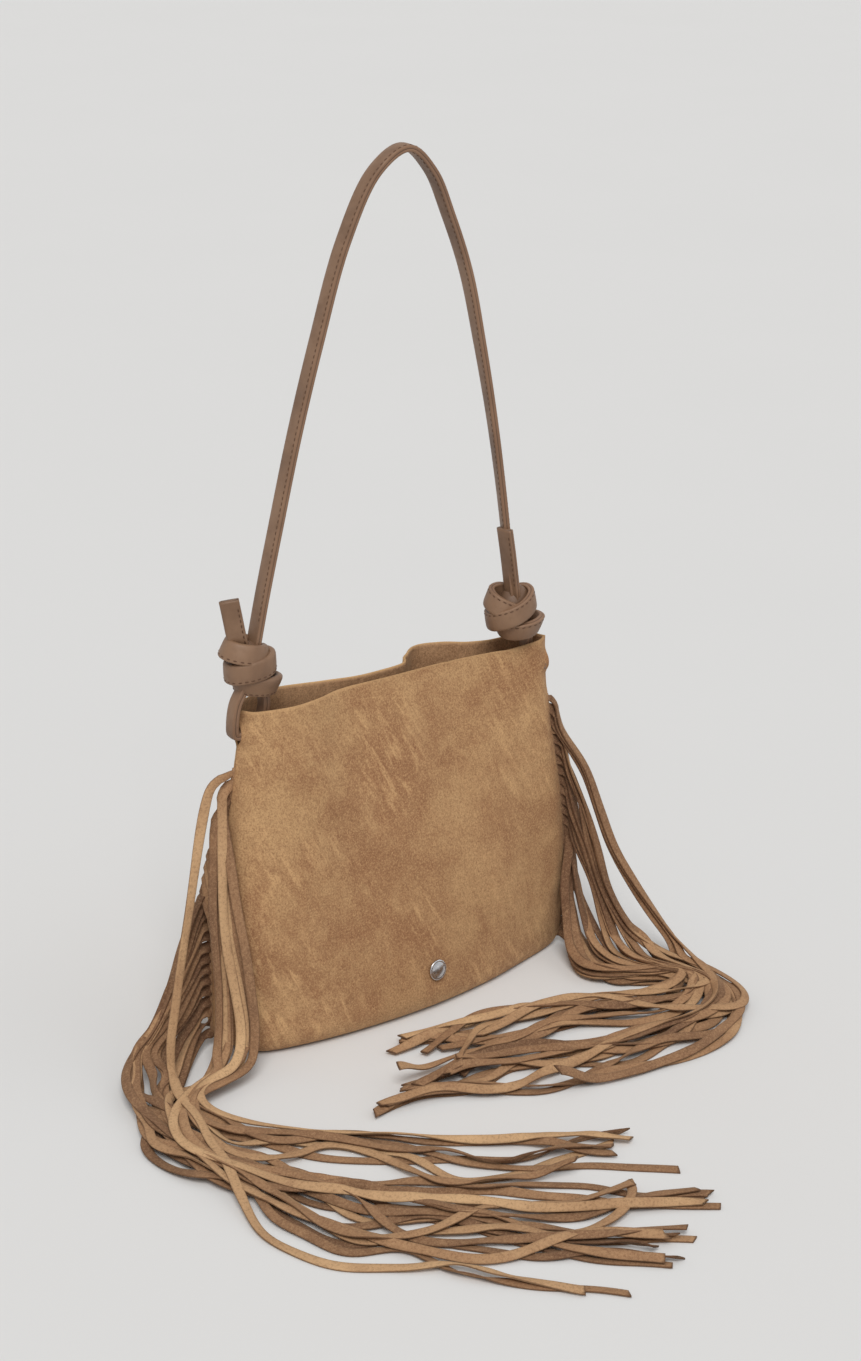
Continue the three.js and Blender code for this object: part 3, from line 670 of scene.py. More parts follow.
# Laces that the photograph shows one by one, by their number from the top: the branch that each hangs in,
# its place across it, and its own way over the floor as (x, y). One has its own hang too, as (height, x, y).
LEFT_OWN = {
    0: ("own", [(185, -141, -3), (176, -146, -5), (159, -152, -8), (134, -159, -12), (110, -165, -15),
                (79, -174, -20), (49, -182, -25), (24, -188, -29)],
        [(-191, -37), (-200, -61), (-205, -95), (-215, -130), (-224, -165), (-230, -194), (-229, -226),
         (-222, -250), (-209, -272), (-185, -290), (-163, -303), (-144, -324), (-122, -350), (-93, -385)]),
    1: ("front", 0.45,
        [(-160, -56), (-174, -58), (-186, -63), (-192, -75), (-190, -93), (-178, -112), (-155, -131),
         (-107, -168), (-58, -205), (-15, -229), (13, -247)]),
    2: ("front", 0.0,
        [(-152, -58), (-172, -63), (-189, -68), (-199, -80), (-200, -98), (-190, -114), (-165, -132),
         (-141, -154), (-115, -180), (-92, -195), (-83, -218), (-70, -232), (-54, -233), (-34, -236),
         (-3, -248)]),
    3: ("front", 0.9,
        [(-168, -54), (-190, -64), (-206, -88), (-211, -116), (-206, -139), (-191, -151), (-169, -151),
         (-151, -147), (-139, -158), (-131, -182), (-125, -205), (-119, -228), (-106, -237), (-90, -236),
         (-63, -250), (-41, -262)]),
    6: ("front", 0.7,
        [(-170, -52), (-198, -62), (-214, -88), (-220, -120), (-214, -162), (-206, -205), (-196, -240),
         (-180, -262), (-155, -270), (-131, -267), (-108, -264), (-88, -274), (-60, -290), (-21, -290)]),
    8: ("front", 0.95,
        [(-176, -46), (-204, -58), (-222, -90), (-226, -130), (-214, -190), (-192, -245), (-162, -288),
         (-128, -312), (-97, -318), (-70, -318), (-45, -309), (-27, -293), (-19, -277), (-9, -262)]),
}
RIGHT_OWN = {
    0: ("outer", 1.0,
        [(192, -84), (189, -100), (181, -120), (166, -138), (140, -148), (107, -146), (81, -148), (44, -152),
         (12, -152), (-10, -158), (-30, -154), (-56, -138), (-84, -134), (-101, -132)]),
    1: ("outer", 0.75,
        [(186, -84), (193, -104), (194, -128), (188, -146), (176, -156), (159, -152), (128, -122),
         (104, -94), (70, -84), (30, -86), (2, -94)]),
    3: ("front", 0.95,
        [(180, -74), (191, -92), (191, -108), (179, -119), (159, -118), (130, -104), (96, -85),
         (49, -78), (-2, -70), (-39, -67)]),
    5: ("front", 0.82,
        [(184, -82), (193, -104), (188, -134), (174, -156), (155, -166), (132, -178), (107, -184),
         (77, -182), (34, -177)]),
}

# Heights at which a hanging lace is held to its place in its branch.
HANG_LEVELS = (165, 135, 106, 78, 52, 30, 13)


class Pile:
    """How high the laces already laid reach over the floor, on a square grid in millimetres."""

    CELL = 2.0
    ORIGIN = np.array([-280.0, -430.0])
    SHAPE = (260, 240)

    def __init__(self):
        self.top = np.zeros(self.SHAPE)

    def cells(self, xy):
        index = np.round((xy - self.ORIGIN) / self.CELL).astype(int)
        return np.clip(index[..., 0], 0, self.SHAPE[0] - 1), np.clip(index[..., 1], 0, self.SHAPE[1] - 1)

    def height(self, xy):
        return self.top[self.cells(xy)]

    def cover(self, xy, height):
        np.maximum.at(self.top, self.cells(xy), height)


def edge_at(edge, z):
    """Point of a hanging edge at a height."""
    table = np.array(edge, float)[::-1]
    return at_lengths(table[:, 1:], table[:, 0], [z])[0]


def wander(rng, count, knots, waves):
    """A smooth random line of about -1 to 1 at even steps, drawn at fewer knots."""
    at = np.linspace(0, 1, knots)
    total = np.zeros(knots)
    for k in range(1, waves + 1):
        size = rng.normal()
        total += size * np.sin(at * math.pi * 2 * k * rng.uniform(0.8, 1.2) + rng.uniform(0, 6.3)) / k**0.5
    return np.interp(np.linspace(0, 1, count), at, total / 1.6)


def hang_points(side, shape, branch, place, root_z, arch, rng):
    """Where a lace passes on its way down its branch, from below its arch to just over the floor."""
    near, far = shape[branch]
    outwards = 5.0 * root_z / FRINGE_TOP - 3.0 + 1.2 * rng.normal()
    points = []
    for z in HANG_LEVELS:
        if z > root_z - 15:
            continue
        start = edge_at(near, z)
        span = edge_at(far, z) - start
        beside = unit(np.array([span[1], -span[0]]) * side + 1e-6)
        here = np.clip(place + 0.07 * math.sin(z / 24 + place * 9), 0.0, 1.0)
        xy = start + span * here + beside * outwards * float(smooth((root_z - z) / 90))
        below = float(smooth((root_z - z - 3) / 40))
        points.append((*mix(arch[:2], xy, below), z))
    return points


def floor_band(shape, lane_from, lane_to, first, rng):
    """A way along the band on the floor that drifts from one lane to another and ends at the nearest tip."""
    near = np.array(shape["near_floor"], float)[first:]
    far = np.array(shape["far_floor"], float)[first:]
    steps = np.linspace(0, 1, len(near))
    drift = lane_to + 0.13 * wander(rng, len(near), 24, 3)
    lane = np.clip(mix(lane_from, drift, smooth(steps / 0.45)), -0.02, 1.02)[:, None]
    floor = near + (far - near) * lane
    tips = np.array(shape["tips"], float)
    bulge = np.array(shape["bulge"]) * 4 * lane[-1] * (1 - lane[-1])
    reach = floor[-1] + bulge + rng.normal(size=2) * 15
    tip = tips[np.argmin(np.linalg.norm(tips - reach, axis=1))] + rng.normal(size=2) * 4
    floor[-1] = tip
    floor[-2] = mix(floor[-2], tip + near[-2] - near[-1], 0.6)
    return floor


def lace_guide(side, shape, own, number, rng):
    """The way of one lace before it has its length: points in space, and how many come before the floor."""
    share = number / (LACE_COUNT - 1)
    root_z = mix(FRINGE_TOP, FRINGE_BOTTOM, share)
    edge = float(half_width(root_z))
    outer = number in shape["outer_numbers"]
    branch = "outer" if outer else "front"
    place = float(np.clip(shape[branch + "_place"](share, rng), 0.0, 1.0))
    kind, way, floor = own.get(number, (branch, place, None))
    own_hang = kind == "own"
    if not own_hang:
        branch, place = kind, way
    far_out = side < 0 and outer
    least_out, more_out, loose_out = shape["arch"][int(outer)]
    arch_out = least_out + more_out * place + loose_out * rng.random()
    arch = np.array([side * (edge + arch_out), -1.5, root_z - (8.5 if far_out else 6.5)])
    bend = (7, -1.5, 0.8) if own_hang else (0.62 * arch_out, -0.5, 0.8 if far_out else 2.2)
    start = [
        (side * (edge - 3), 0, root_z),
        (side * (edge + 2), 0, root_z - (0.0 if far_out else 0.4)),
        (side * (edge + bend[0]), bend[1], root_z - bend[2]),
    ]
    if own_hang:
        start += [(x, y, z) for z, x, y in way]
    else:
        if root_z > 22:
            start.append(tuple(arch))
        start += hang_points(side, shape, branch, place, root_z, arch, rng)
    if floor is None:
        lanes = shape["first_lane"][int(outer)]
        ends = shape["last_lane"][int(outer)]
        first = 0 if root_z > 30 else 1
        floor = floor_band(shape, mix(*lanes, place), float(rng.uniform(*ends)), first, rng)
    return np.array(start + [(x, y, 0.0) for x, y in floor]), len(start), root_z


def lace_line(guide, floor_from, least, most, rng, by_hand):
    """The lace's centre line with the soft waves that it lies in, cut or carried on to a likely length."""
    each = 10
    line = catmull(guide, each)
    fine = resample(line, 420)
    along = lengths_along(fine)
    landed = along - lengths_along(line)[min(floor_from * each, len(line) - 1)]
    long_wave = rng.uniform(95, 165)
    short_wave = rng.uniform(46, 75)
    wave = np.sin(landed / long_wave * 2 * math.pi + rng.uniform(0, 6.3))
    wave += 0.3 * np.sin(landed / short_wave * 2 * math.pi + rng.uniform(0, 6.3))
    wave *= smooth((landed - 15) / 70) * mix(1.0, 0.4, smooth((along - along[-1] + 80) / 80))
    size = rng.uniform(1.2, 2.4) if by_hand else rng.uniform(2.5, MOST_WAVE)
    waved = fine + level_side(tangents(fine)) * (wave * size)[:, None]
    short_by = least - lengths_along(waved)[-1]
    if short_by > 0:
        way = unit(waved[-1] - waved[-12])
        waved = np.vstack([waved, waved[-1] + way * short_by * np.linspace(0, 1, 12)[1:, None]])
    along = lengths_along(waved)
    length = min(along[-1], most)
    return at_lengths(waved, along, np.linspace(0, length, int(length / LACE_STEP) + 1))


def rolls(rng, count, landing):
    """How far a lace turns about its own length: freely while it hangs, and now and then on the floor."""
    roll = 0.55 * wander(rng, count, 40, 4)
    at = np.arange(count)
    for _ in range(int(rng.integers(1, 4))):
        centre = rng.uniform(landing, count)
        width = rng.uniform(4, 9)
        roll_most = rng.choice([-1, 1]) * rng.uniform(0.6, 1.25)
        roll = roll + roll_most * np.exp(-(((at - centre) / width) ** 2))
    hanging = 1 - smooth((at - landing + 6) / 12)
    return roll * mix(0.55, 1.0, hanging)


def lace_section(rng, count, root_share):
    """The lace's cross section at each step: flat, a little cupped, with soft cut edges."""
    half = LACE_WIDTH / 2
    thick = LACE_THICK / 2
    w = np.array([-1.0, -0.93, -0.4, 0.4, 0.93, 1.0, 0.93, 0.4, -0.4, -0.93]) * half
    h = np.array([0.0, 0.86, 1.0, 1.0, 0.86, 0.0, -0.86, -1.0, -1.0, -0.86]) * thick
    cup = rng.uniform(-0.06, 0.1) * w**2 / half
    section = np.broadcast_to(np.stack([w, h + cup], axis=1), (count, len(w), 2)).copy()
    uneven = 1 + 0.05 * wander(rng, count, 60, 12)
    uneven = uneven + (root_share - 1) * np.exp(-((np.arange(count) * LACE_STEP / ROOT_TAPER) ** 2))
    section[:, :, 0] *= uneven[:, None]
    return section


# How much of the dark cut edge shows at each point of a lace's section.
CUT = np.array([1.0, 0.45, 0, 0, 0.45, 1.0, 0.45, 0, 0, 0.45])


def lay_lace(line, pile, usual_tone, hang_shade, root_share, rng):
    """Lays a lace on what is there already and returns its points, faces and values."""
    count = len(line)
    low = np.where(line[:, 2] < 8)[0]
    landing = max(int(low[0]) if len(low) else count, 6)
    roll = rolls(rng, count, landing)
    half = LACE_WIDTH / 2
    to_edge = level_side(tangents(line)) * half
    left = pile.height((line + to_edge)[:, :2])
    right = pile.height((line - to_edge)[:, :2])
    centre = pile.height(line[:, :2])
    lean = blurred(np.clip((left - right) / LACE_WIDTH, -0.45, 0.45), 2.0)
    under = np.maximum(np.maximum(left, right) * 0.72 + np.minimum(left, right) * 0.28, centre)
    on_edge = np.abs(np.sin(roll)) * half + np.abs(np.cos(roll)) * LACE_THICK / 2
    under = np.where(under > LOOSE_PILE, LOOSE_PILE + (under - LOOSE_PILE) * PILE_SETTLES, under)
    need = under + on_edge + 0.1
    rest = need.copy()
    for _ in range(5):
        rest = np.maximum(blurred(rest, 3.0), need)
    rest = blurred(rest, 1.5)
    line = line.copy()
    line[:, 2] = np.maximum(line[:, 2], rest)
    if rng.random() < CURLED_SHARE:
        from_end = (count - 1 - np.arange(count)) * LACE_STEP
        line[:, 2] += rng.uniform(4, MOST_CURL) * (1 - smooth(from_end / CURL_LENGTH)) ** 1.5
    line[6:] = blurred(line, 1.6)[6:]
    line[:, 2] = np.maximum(line[:, 2], on_edge + 0.05)
    t = tangents(line)
    wide = np.zeros((count, 3))
    leaning = level_side(t) + np.outer(lean, (0, 0, 1))
    for i in range(count - 1, -1, -1):
        wide[i] = leaning[i] if i >= landing else wide[i + 1]
        wide[i] -= wide[i].dot(t[i]) * t[i]
        wide[i] /= np.linalg.norm(wide[i])
    up = np.cross(t, wide)
    turn = math.atan2(up[0, 2], wide[0, 2])
    if abs(turn) > math.pi / 2:
        turn -= math.copysign(math.pi, turn)
    at = np.arange(count) * LACE_STEP
    own_turn = roll * smooth((at - 12) / 45) + turn * (1 - smooth((at - 2) / 9))
    wide = wide * np.cos(own_turn)[:, None] + up * np.sin(own_turn)[:, None]
    section = lace_section(rng, count, root_share)
    slant = rng.uniform(-0.9, 0.9)
    points, faces = sweep(line, wide, section)
    sides = section.shape[1]
    points[-sides:] += t[-1] * (section[-1, :, :1] * slant)
    points[:, 2] = np.maximum(points[:, 2], 0.05)
    top = line[:, 2] + on_edge
    lying = line[:, 2] < 30
    for share in (-1.0, -0.5, 0.0, 0.5, 1.0):
        pile.cover((line + wide * half * share)[lying][:, :2], top[lying])
    tone = float(np.clip(rng.normal(usual_tone, 0.27), 0.0, 1.0))
    drift = tone + 0.17 * wander(rng, count, 30, 4)
    # Painted shade: a lace is darker while it hangs, most on the right fringe, and darker near its root where
    # it leaves the seam.
    drift += hang_shade * smooth((line[:, 2] - 8) / 40) - 0.35 * np.exp(-((at / 18) ** 2))
    values = {"tone": np.repeat(drift, sides), "cut": np.tile(CUT, count)}
    values["cut"][-sides:] = 1.0
    return points, faces, values


def fringe_strip(side):
    """The uncut strip that the laces are cut from, sewn in between the panels."""
    z = np.linspace(HEADER_BOTTOM, HEADER_TOP, 60)
    outer = half_width(z) + HEADER_OUT
    line = np.stack([side * (outer - HEADER_WIDTH / 2), 0 * z, z], axis=1)
    wide = np.broadcast_to((1.0, 0, 0), line.shape)
    half = HEADER_WIDTH / 2
    thick = HEADER_THICK / 2
    section = [(-half, -thick), (half - 0.4, -thick), (half, 0), (half - 0.4, thick), (-half, thick)]
    points, faces = sweep(line, wide, section)
    count = len(points)
    return points, faces, {"tone": np.full(count, 0.4), "cut": np.full(count, 0.2)}


def fringe_piece(side, name, node, shape, own, seed):
    """One fringe: its laces laid from the lowest root up, with a few pairs swapped."""
    rng = np.random.default_rng(seed)
    pile = Pile()
    order = list(range(LACE_COUNT - 1, -1, -1))
    for k in range(4, LACE_COUNT - 8):
        if rng.random() < SWAP_SHARE:
            order[k], order[k + 1] = order[k + 1], order[k]
    shells = [fringe_strip(side)]
    for number in order:
        guide, floor_from, root_z = lace_guide(side, shape, own, number, rng)
        least = root_z + shape["shortest"]
        line = lace_line(guide, floor_from, least, LONGEST_LACE, rng, number in own)
        # The deeper a lace lies in the pile, the darker it is: painted shade.
        usual_tone = TOP_TONE - PILE_SHADE_FALL * number / LACE_COUNT + shape["tone"]
        root_share = ROOT_WIDTH_SHARE if number else TOP_ROOT_SHARE
        shells.append(lay_lace(line, pile, usual_tone, shape["hang_shade"], root_share, rng))
    points, faces, values = joined(shells)
    piece = new_mesh(name, points, faces, [LACE_SUEDE], None, values)
    finish_piece(piece, "fringe_suede", node)


LEFT_SEED = 7
RIGHT_SEED = 11
fringe_piece(-1, "left_laces", "fringe_left", LEFT, LEFT_OWN, LEFT_SEED)
fringe_piece(1, "right_laces", "fringe_right", RIGHT, RIGHT_OWN, RIGHT_SEED)


# Strap

STRAP_WIDTH = 12.5
STRAND_WIDTH = 9.0
STRAP_THICK = 4.6
STRAND_THICK = STRAP_THICK + 0.8
TAIL_THICK = STRAP_THICK - 0.6
STRAP_TOP = 573.0
KNOT_Z = 258.0
LEFT_KNOT_X = -111.0
RIGHT_KNOT_X = 92.0

# One half of the strap's section from its raw front edge to its folded back edge, as shares of half the
# width and half the thickness: two layers with a crease between them, and a dip under the stitches.
STRAP_SECTION = [
    (-0.93, 0.0), (-0.985, 0.18), (-1.0, 0.45), (-0.98, 0.78), (-0.9, 0.93), (-0.74, 0.88), (-0.6, 0.96),
    (-0.2, 1.02), (0.3, 1.02), (0.68, 0.97), (0.86, 0.82), (0.965, 0.5), (1.0, 0.0),
]
STITCH_SHARE = -0.74
STITCH_PITCH = 3.7
STITCH_LENGTH = 2.6
STITCH_RADIUS = 0.4

# Steps in each run of the strap, and how many of them stay without stitches at an end.
LOOP_STEPS, BAND_STEPS, STRAND_STEPS, TAIL_STEPS = 300, 150, 90, 40
LOOP_BARE, BAND_BARE, TAIL_BARE = 12, 8, 10


def strap_shell(line, wide, width, thick):
    """A run of the strap, with the groove between its layers and its raw edge marked."""
    half = [(w * width / 2, h * thick / 2) for w, h in STRAP_SECTION]
    section = half + [(w, -h) for w, h in half[-2:0:-1]]
    points, faces = sweep(line, wide, section)
    groove = np.zeros(len(section))
    groove[0] = 1.0
    raw = np.zeros(len(section))
    raw[[1, 2, 3, -1, -2, -3]] = 1.0
    return points, faces, {"groove": np.tile(groove, len(line)), "raw": np.tile(raw, len(line))}


def stitch_shell(middle, way, out):
    """One stitch: a short rounded rod along way, its middle raised."""
    rings = sides = 6
    stations = np.linspace(-1, 1, rings)
    radius = STITCH_RADIUS * np.sqrt(np.maximum(1 - stations**4, 0.05))
    lift = 0.18 * (1 - stations**2) - 0.1
    angles = np.arange(sides)[:, None] / sides * 2 * math.pi
    ring = np.cross(way, out) * np.cos(angles) + out * np.sin(angles)
    centres = middle + np.outer(stations * STITCH_LENGTH / 2, way) + np.outer(lift, out)
    points = centres[:, None] + ring * radius[:, None, None]
    return points.reshape(-1, 3), tube_faces(rings, sides), {}


def stitches(line, wide, width, thick, faces_up=(1, -1)):
    """Stitches along the raw edge of a strap run, on one or both of its faces."""
    along = lengths_along(line)
    t = tangents(line)
    spots = np.arange(STITCH_PITCH, along[-1] - STITCH_PITCH, STITCH_PITCH)
    rows = [at_lengths(row, along, spots) for row in (line, t, wide, np.cross(t, wide))]
    out = []
    for centre, way, across, up in zip(*rows):
        for sign in faces_up:
            middle = centre + across * STITCH_SHARE * width / 2 + up * sign * (0.87 * thick / 2)
            out.append(stitch_shell(middle, way, up * sign))
    return out


# The loop's shape, as shares of the way from its middle to a knot and of its rise.
LOOP_SHAPE = [
    (-1, 0), (-0.92, 0.14), (-0.83, 0.28), (-0.71, 0.46), (-0.57, 0.64), (-0.4, 0.83), (-0.2, 0.96), (0, 1),
    (0.2, 0.95), (0.35, 0.86), (0.51, 0.74), (0.64, 0.59), (0.76, 0.43), (0.86, 0.27), (0.95, 0.1), (1, 0),
]
LOOP_TWIST = math.radians(22)


def strap_loop_line():
    """The middle line of the strap's loop, from the left knot to the right one."""
    across, up = np.array(LOOP_SHAPE, float).T
    x = across * np.where(across < 0, -LEFT_KNOT_X, RIGHT_KNOT_X)
    z = mix(KNOT_Z, STRAP_TOP - STRAP_THICK / 2, up)
    return resample(catmull(np.stack([x, 0 * x, z], axis=1)), LOOP_STEPS)


# The turns of each knot, as (angle, radius, height over the knot's middle, shift along X). Angle 0 is towards
# -X and 90 towards the front.
LEFT_TURNS = [
    (-100, 7.5, 12, 0), (-70, 11, 13.5, 0), (-35, 14.4, 13.6, -1.5), (0, 14.6, 13.2, -1.5),
    (35, 13.8, 12, -1), (70, 12.8, 10.4, 0), (105, 11.6, 8.8, 0), (145, 10.4, 7, 0), (180, 10.2, 6, 0),
    (220, 10.8, 4, 0), (260, 12, 1, 0), (300, 13.6, -1.6, 0), (335, 14.8, -2.8, 0), (380, 15.2, -2.2, 0),
    (415, 15.3, -0.4, 0), (450, 15.3, 1.2, 0), (480, 15.1, 2.4, 0), (515, 14.6, 3.6, 0), (555, 13.6, 3, 0),
    (590, 12.4, -1, 0), (630, 11, -6, 0), (670, 10, -9, 0), (710, 10, -9.5, 0), (750, 10.8, -9.8, 0),
    (790, 12.2, -10.6, 1), (830, 13.6, -12, 2), (870, 14.4, -13, 3), (905, 13.6, -13.4, 2),
    (945, 11, -13.6, 1), (985, 7.5, -14, 0),
]
RIGHT_TURNS = [
    (-100, 7.5, 8, -2), (-70, 11, 10, -2), (-35, 14.2, 9.6, -3), (-5, 14.8, 8, -3), (25, 14.2, 5.2, -3),
    (55, 12.6, 1.4, -2), (90, 11, -1.6, -2), (135, 10.4, -2.4, -2), (180, 10.4, -3, -2),
    (220, 10.8, -4, -2), (260, 12, -5.6, -2), (300, 13.8, -6.8, -2), (330, 15, -7, -2),
    (370, 15.4, -5.8, -2), (410, 15.5, -2.6, -2), (440, 15.5, 0.6, -2), (470, 15.3, 4, -2),
    (505, 14.8, 7.4, -2), (545, 13.6, 8.6, -2), (585, 12.2, 6, -2), (625, 11, -1, -1), (665, 10.4, -8, 0),
    (705, 10.6, -11.8, 1), (745, 11.6, -13.2, 2), (785, 13, -13.2, 3), (825, 14.4, -12.2, 3.5),
    (865, 15, -11, 3.5), (905, 14, -11, 3), (945, 11.5, -12, 2), (985, 8, -14, 0),
]
# For each knot: side, middle, turns, how far its core leans, its tail from its middle, the tail's wide way.
KNOTS = (
    (-1, LEFT_KNOT_X, LEFT_TURNS, 0.0,
     [(-4.5, 0.7, 3.1), (-10, -1, 20), (-13, -1, 34), (-15.5, -1, 45.5)], (-0.86, 0.5, 0.0)),
    (1, RIGHT_KNOT_X, RIGHT_TURNS, -2.0,
     [(-0.7, -1.3, 1.9), (-5, -3, 22), (-9, -4, 42), (-12, -4, 58)], (-0.2, 0.98, 0.0)),
)
KNOT_BAND_WIDTH = 13.3
KNOT_DEPTH_SHARE = 0.88
KNOT_LEAN = 0.032
CORE_RADII = (12.2, 10.4, 16.0)


def turn_line(centre_x, turns):
    """The middle line of a knot's band."""
    angle, radius, z, shift = np.array(turns, float).T
    angle = np.radians(angle)
    x = centre_x + shift - radius * np.cos(angle)
    y = -radius * KNOT_DEPTH_SHARE * np.sin(angle)
    return resample(catmull(np.stack([x, y, KNOT_Z + z], axis=1), 8), BAND_STEPS)


def around(line, centre_x, raw_edge_up):
    """The wide direction of a band wound round a knot: along its axis, its outermost edge leaning inwards."""
    radial = unit((line - np.array([centre_x, 0, KNOT_Z])) * np.array([1.0, 1.0, 0.0]))
    lean = -KNOT_LEAN * (line[:, 2:] - KNOT_Z)
    way = np.array([0.05, 0.0, 1.0]) + radial * lean
    return across_of(line, way if raw_edge_up else -way)


def knot_core(centre_x, shift):
    """The hidden turns inside a knot: a plain rounded body that closes the spaces between the bands."""
    rings, sides = 15, 28
    polar = math.pi * (np.arange(rings, 0, -1) - 0.5)[:, None] / rings
    angle = 2 * math.pi * np.arange(sides) / sides
    x = centre_x + CORE_RADII[0] * np.sin(polar) * np.cos(angle) - shift * np.cos(polar)
    y = CORE_RADII[1] * np.sin(polar) * np.sin(angle)
    z = KNOT_Z + CORE_RADII[2] * np.cos(polar) + 0 * angle
    count = rings * sides
    # The core takes much of the groove's dark colour: painted shade in the spaces between the knot's bands.
    values = {"groove": np.full(count, 0.55), "raw": np.zeros(count)}
    return np.stack([x, y, z], axis=-1).reshape(-1, 3), tube_faces(rings, sides), values


def strand_line(side, centre_x):
    """From the knot down outside the bag, in through the hole and up inside to the knot again."""
    edge = side * float(half_width(STRAP_HOLE_Z))
    z = STRAP_HOLE_Z
    if side < 0:
        inwards, back = 18, -0.5
        outside = [
            (centre_x - 2, -0.8, KNOT_Z + 6.4), (centre_x - 6, -3, KNOT_Z - 10), (edge - 3.6, -3, z + 22),
            (edge - 4.8, -1.5, z + 8), (edge - 3, 0, z + 0.6),
        ]
    else:
        inwards, back = 14, 3.4
        outside = [
            (centre_x + 4, 3, KNOT_Z - 2), (centre_x + 13, 8, KNOT_Z - 16), (edge - 10, 14, z + 22),
            (edge - 6, 12.5, z + 10), (edge - 2.6, 6, z + 1.5),
        ]
    inside = [
        (edge - side * 3, 0, z + 0.6), (edge - side * (inwards - 6), back * 0.4, z + 3),
        (edge - side * inwards, back, z + 13), (edge - side * inwards, back, z + 25),
        (centre_x + side * 0.9, 1.1, KNOT_Z - 1.3),
    ]
    return resample(catmull(outside + inside), STRAND_STEPS)


def strap_piece():
    """The strap's loop, knots, strands and tails as one mesh, and their stitches as another."""
    loop = strap_loop_line()
    twist = LOOP_TWIST * smooth((np.linspace(0, 1, len(loop)) - 0.55) / 0.4)
    loop_wide = across_of(loop, np.stack([np.sin(twist), np.cos(twist), np.zeros(len(loop))], axis=1))
    shells = [strap_shell(loop, loop_wide, STRAP_WIDTH, STRAP_THICK)]
    sewn_part = slice(LOOP_BARE, -LOOP_BARE)
    sewn = stitches(loop[sewn_part], loop_wide[sewn_part], STRAP_WIDTH, STRAP_THICK)
    sewn_part = slice(BAND_BARE, -BAND_BARE)
    for side, centre_x, turns, core_shift, _, _ in KNOTS:
        line = turn_line(centre_x, turns)
        wide = around(line, centre_x, side < 0)
        shells.append(strap_shell(line, wide, KNOT_BAND_WIDTH, STRAP_THICK))
        shells.append(knot_core(centre_x, core_shift))
        outward = (np.cross(tangents(line), wide) * (line - np.array([centre_x, 0, KNOT_Z]))).sum()
        face_up = (1 if outward > 0 else -1,)
        sewn += stitches(line[sewn_part], wide[sewn_part], KNOT_BAND_WIDTH, STRAP_THICK, face_up)
        strand = strand_line(side, centre_x)
        shells.append(strap_shell(strand, across_of(strand, (0.0, 1.0, 0.0)), STRAND_WIDTH, STRAND_THICK))
    for _, centre_x, _, _, tail, way in KNOTS:
        line = resample(catmull(np.array(tail) + (centre_x, 0, KNOT_Z)), TAIL_STEPS)
        wide = across_of(line, way)
        shells.append(strap_shell(line, wide, STRAP_WIDTH, TAIL_THICK))
        sewn += stitches(line[TAIL_BARE:], wide[TAIL_BARE:], STRAP_WIDTH, TAIL_THICK)
    points, faces, values = joined(shells)
    strap = new_mesh("knotted_strap", points, faces, [STRAP_LEATHER], None, values)
    finish_piece(strap, "strap_leather", "strap")
    points, faces, _ = joined(sewn)
    seams = new_mesh("strap_stitching", points, faces, [STRAP_THREAD])
    finish_piece(seams, "strap_leather")


strap_piece()


# Stud

STUD_RADIUS = 7.0
STUD_HEIGHT = 1.9
STUD_SIDES = 64

# From the stud's back up over its rim towards its middle: (in from the radius, height).
STUD_PROFILE = [
    (0.4, 0.0), (0.1, 0.15), (0, 0.5), (0.12, 0.85), (0.45, 1.05), (0.9, 1.08), (1.25, 1.0), (1.6, 1.08),
    (2.6, 1.4), (4.2, 1.7), (5.8, 1.86),
]


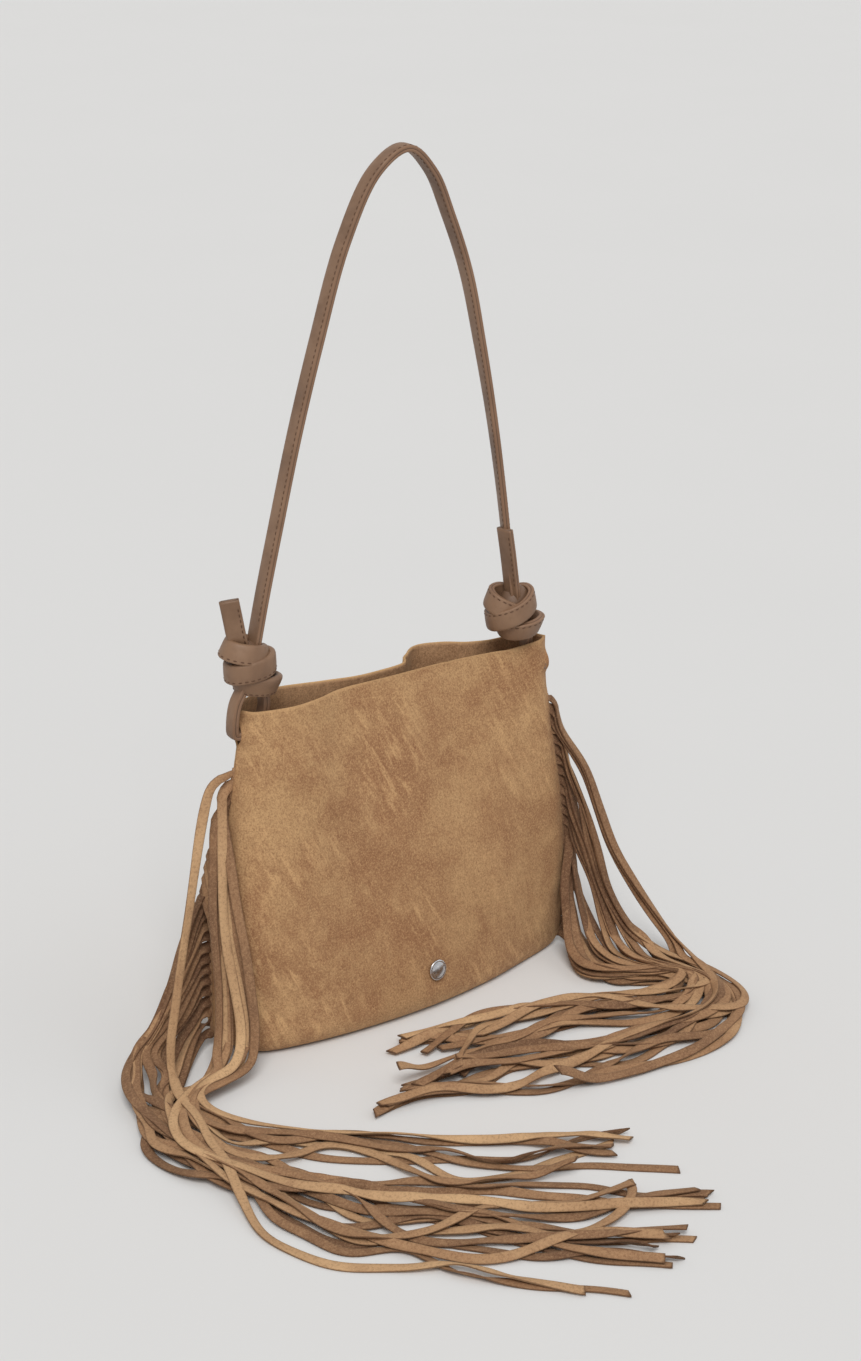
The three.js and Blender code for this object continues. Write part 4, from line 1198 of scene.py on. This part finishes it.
def stud_piece():
    """A plain domed stud with a rounded rim, seated where the CAD stud is."""
    co = np.array([v.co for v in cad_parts["front_stud"].data.vertices])
    centre = co.mean(axis=0)
    out = np.linalg.svd(co - centre)[2][2]
    out = out if out[1] < 0 else -out
    back = (centre + out * ((co - centre) @ out).min()) / MM
    right = unit(np.cross(out, np.array([0.0, 0.0, 1.0])))
    angle = np.arange(STUD_SIDES)[:, None] / STUD_SIDES * 2 * math.pi
    ring = right * np.cos(angle) + np.cross(right, out) * np.sin(angle)
    rings = [back + ring * (STUD_RADIUS - inwards) + out * height for inwards, height in STUD_PROFILE]
    points = np.vstack([*rings, back + out * STUD_HEIGHT])
    faces = tube_faces(len(rings), STUD_SIDES)
    last = faces.pop()
    faces += [[a, b, len(points) - 1] for a, b in zip(last, last[1:] + last[:1])]
    stud = new_mesh("front_stud_cap", points, faces, [STUD_METAL])
    finish_piece(stud, "stud_metal", "front_stud")


stud_piece()


# Floor, backdrop and light

WORLD_STRENGTH = 0.43
FLOOR_REACH = 30.0 / MM


def make_floor():
    """A plain pale floor that catches the shadow."""
    f = Finish("floor", Roughness=0.9, Specular_IOR_Level=0.1)
    paper = f.noise(3.0, 2.0)
    f.put(f.shader, "Base Color", f.blend(linear(226, 226, 226), linear(224, 224, 224), paper))
    corners = [(x * FLOOR_REACH, y * FLOOR_REACH, 0) for x, y in ((-1, -1), (1, -1), (1, 1), (-1, 1))]
    new_mesh("floor", corners, [(0, 1, 2, 3)], [f.material])


def make_world():
    """Soft light from all round, with a plain backdrop where it is looked at or mirrored."""
    world = bpy.data.worlds.new("studio")
    SCENE.world = world
    world.use_nodes = True
    w = Nodes(world.node_tree)
    rays = w.add("LightPath").outputs
    seen = w.maths("MAXIMUM", rays["Is Camera Ray"], rays["Is Glossy Ray"])
    seen = w.maths("MAXIMUM", seen, rays["Is Transmission Ray"])
    light = w.add("Background", {"Color": (1.0, 0.995, 0.985, 1), "Strength": WORLD_STRENGTH})
    backdrop = w.add("Background", {"Color": linear(221, 221, 221)})
    mixed = w.add("MixShader", {0: seen, 1: light.outputs[0], 2: backdrop.outputs[0]})
    w.add("OutputWorld", {"Surface": mixed.outputs[0]})


def make_sun(name, toward, strength, angle, colour):
    """A sun in the direction toward, as wide as an angle in degrees: the wider, the softer its shadow."""
    data = bpy.data.lights.new(name, "SUN")
    data.energy = strength
    data.angle = math.radians(angle)
    data.color = colour
    sun = bpy.data.objects.new(name, data)
    SCENE.collection.objects.link(sun)
    sun.rotation_mode = "QUATERNION"
    sun.rotation_quaternion = Vector(toward).normalized().to_track_quat("Z", "Y")


make_floor()
make_world()
make_sun("key", toward=(-0.42, -0.62, 0.95), strength=1.9, angle=30, colour=(1.0, 0.99, 0.97))
make_sun("fill", toward=(0.75, -0.35, 0.6), strength=0.22, angle=60, colour=(0.98, 0.99, 1.0))

SCENE.view_settings.view_transform = "Standard"
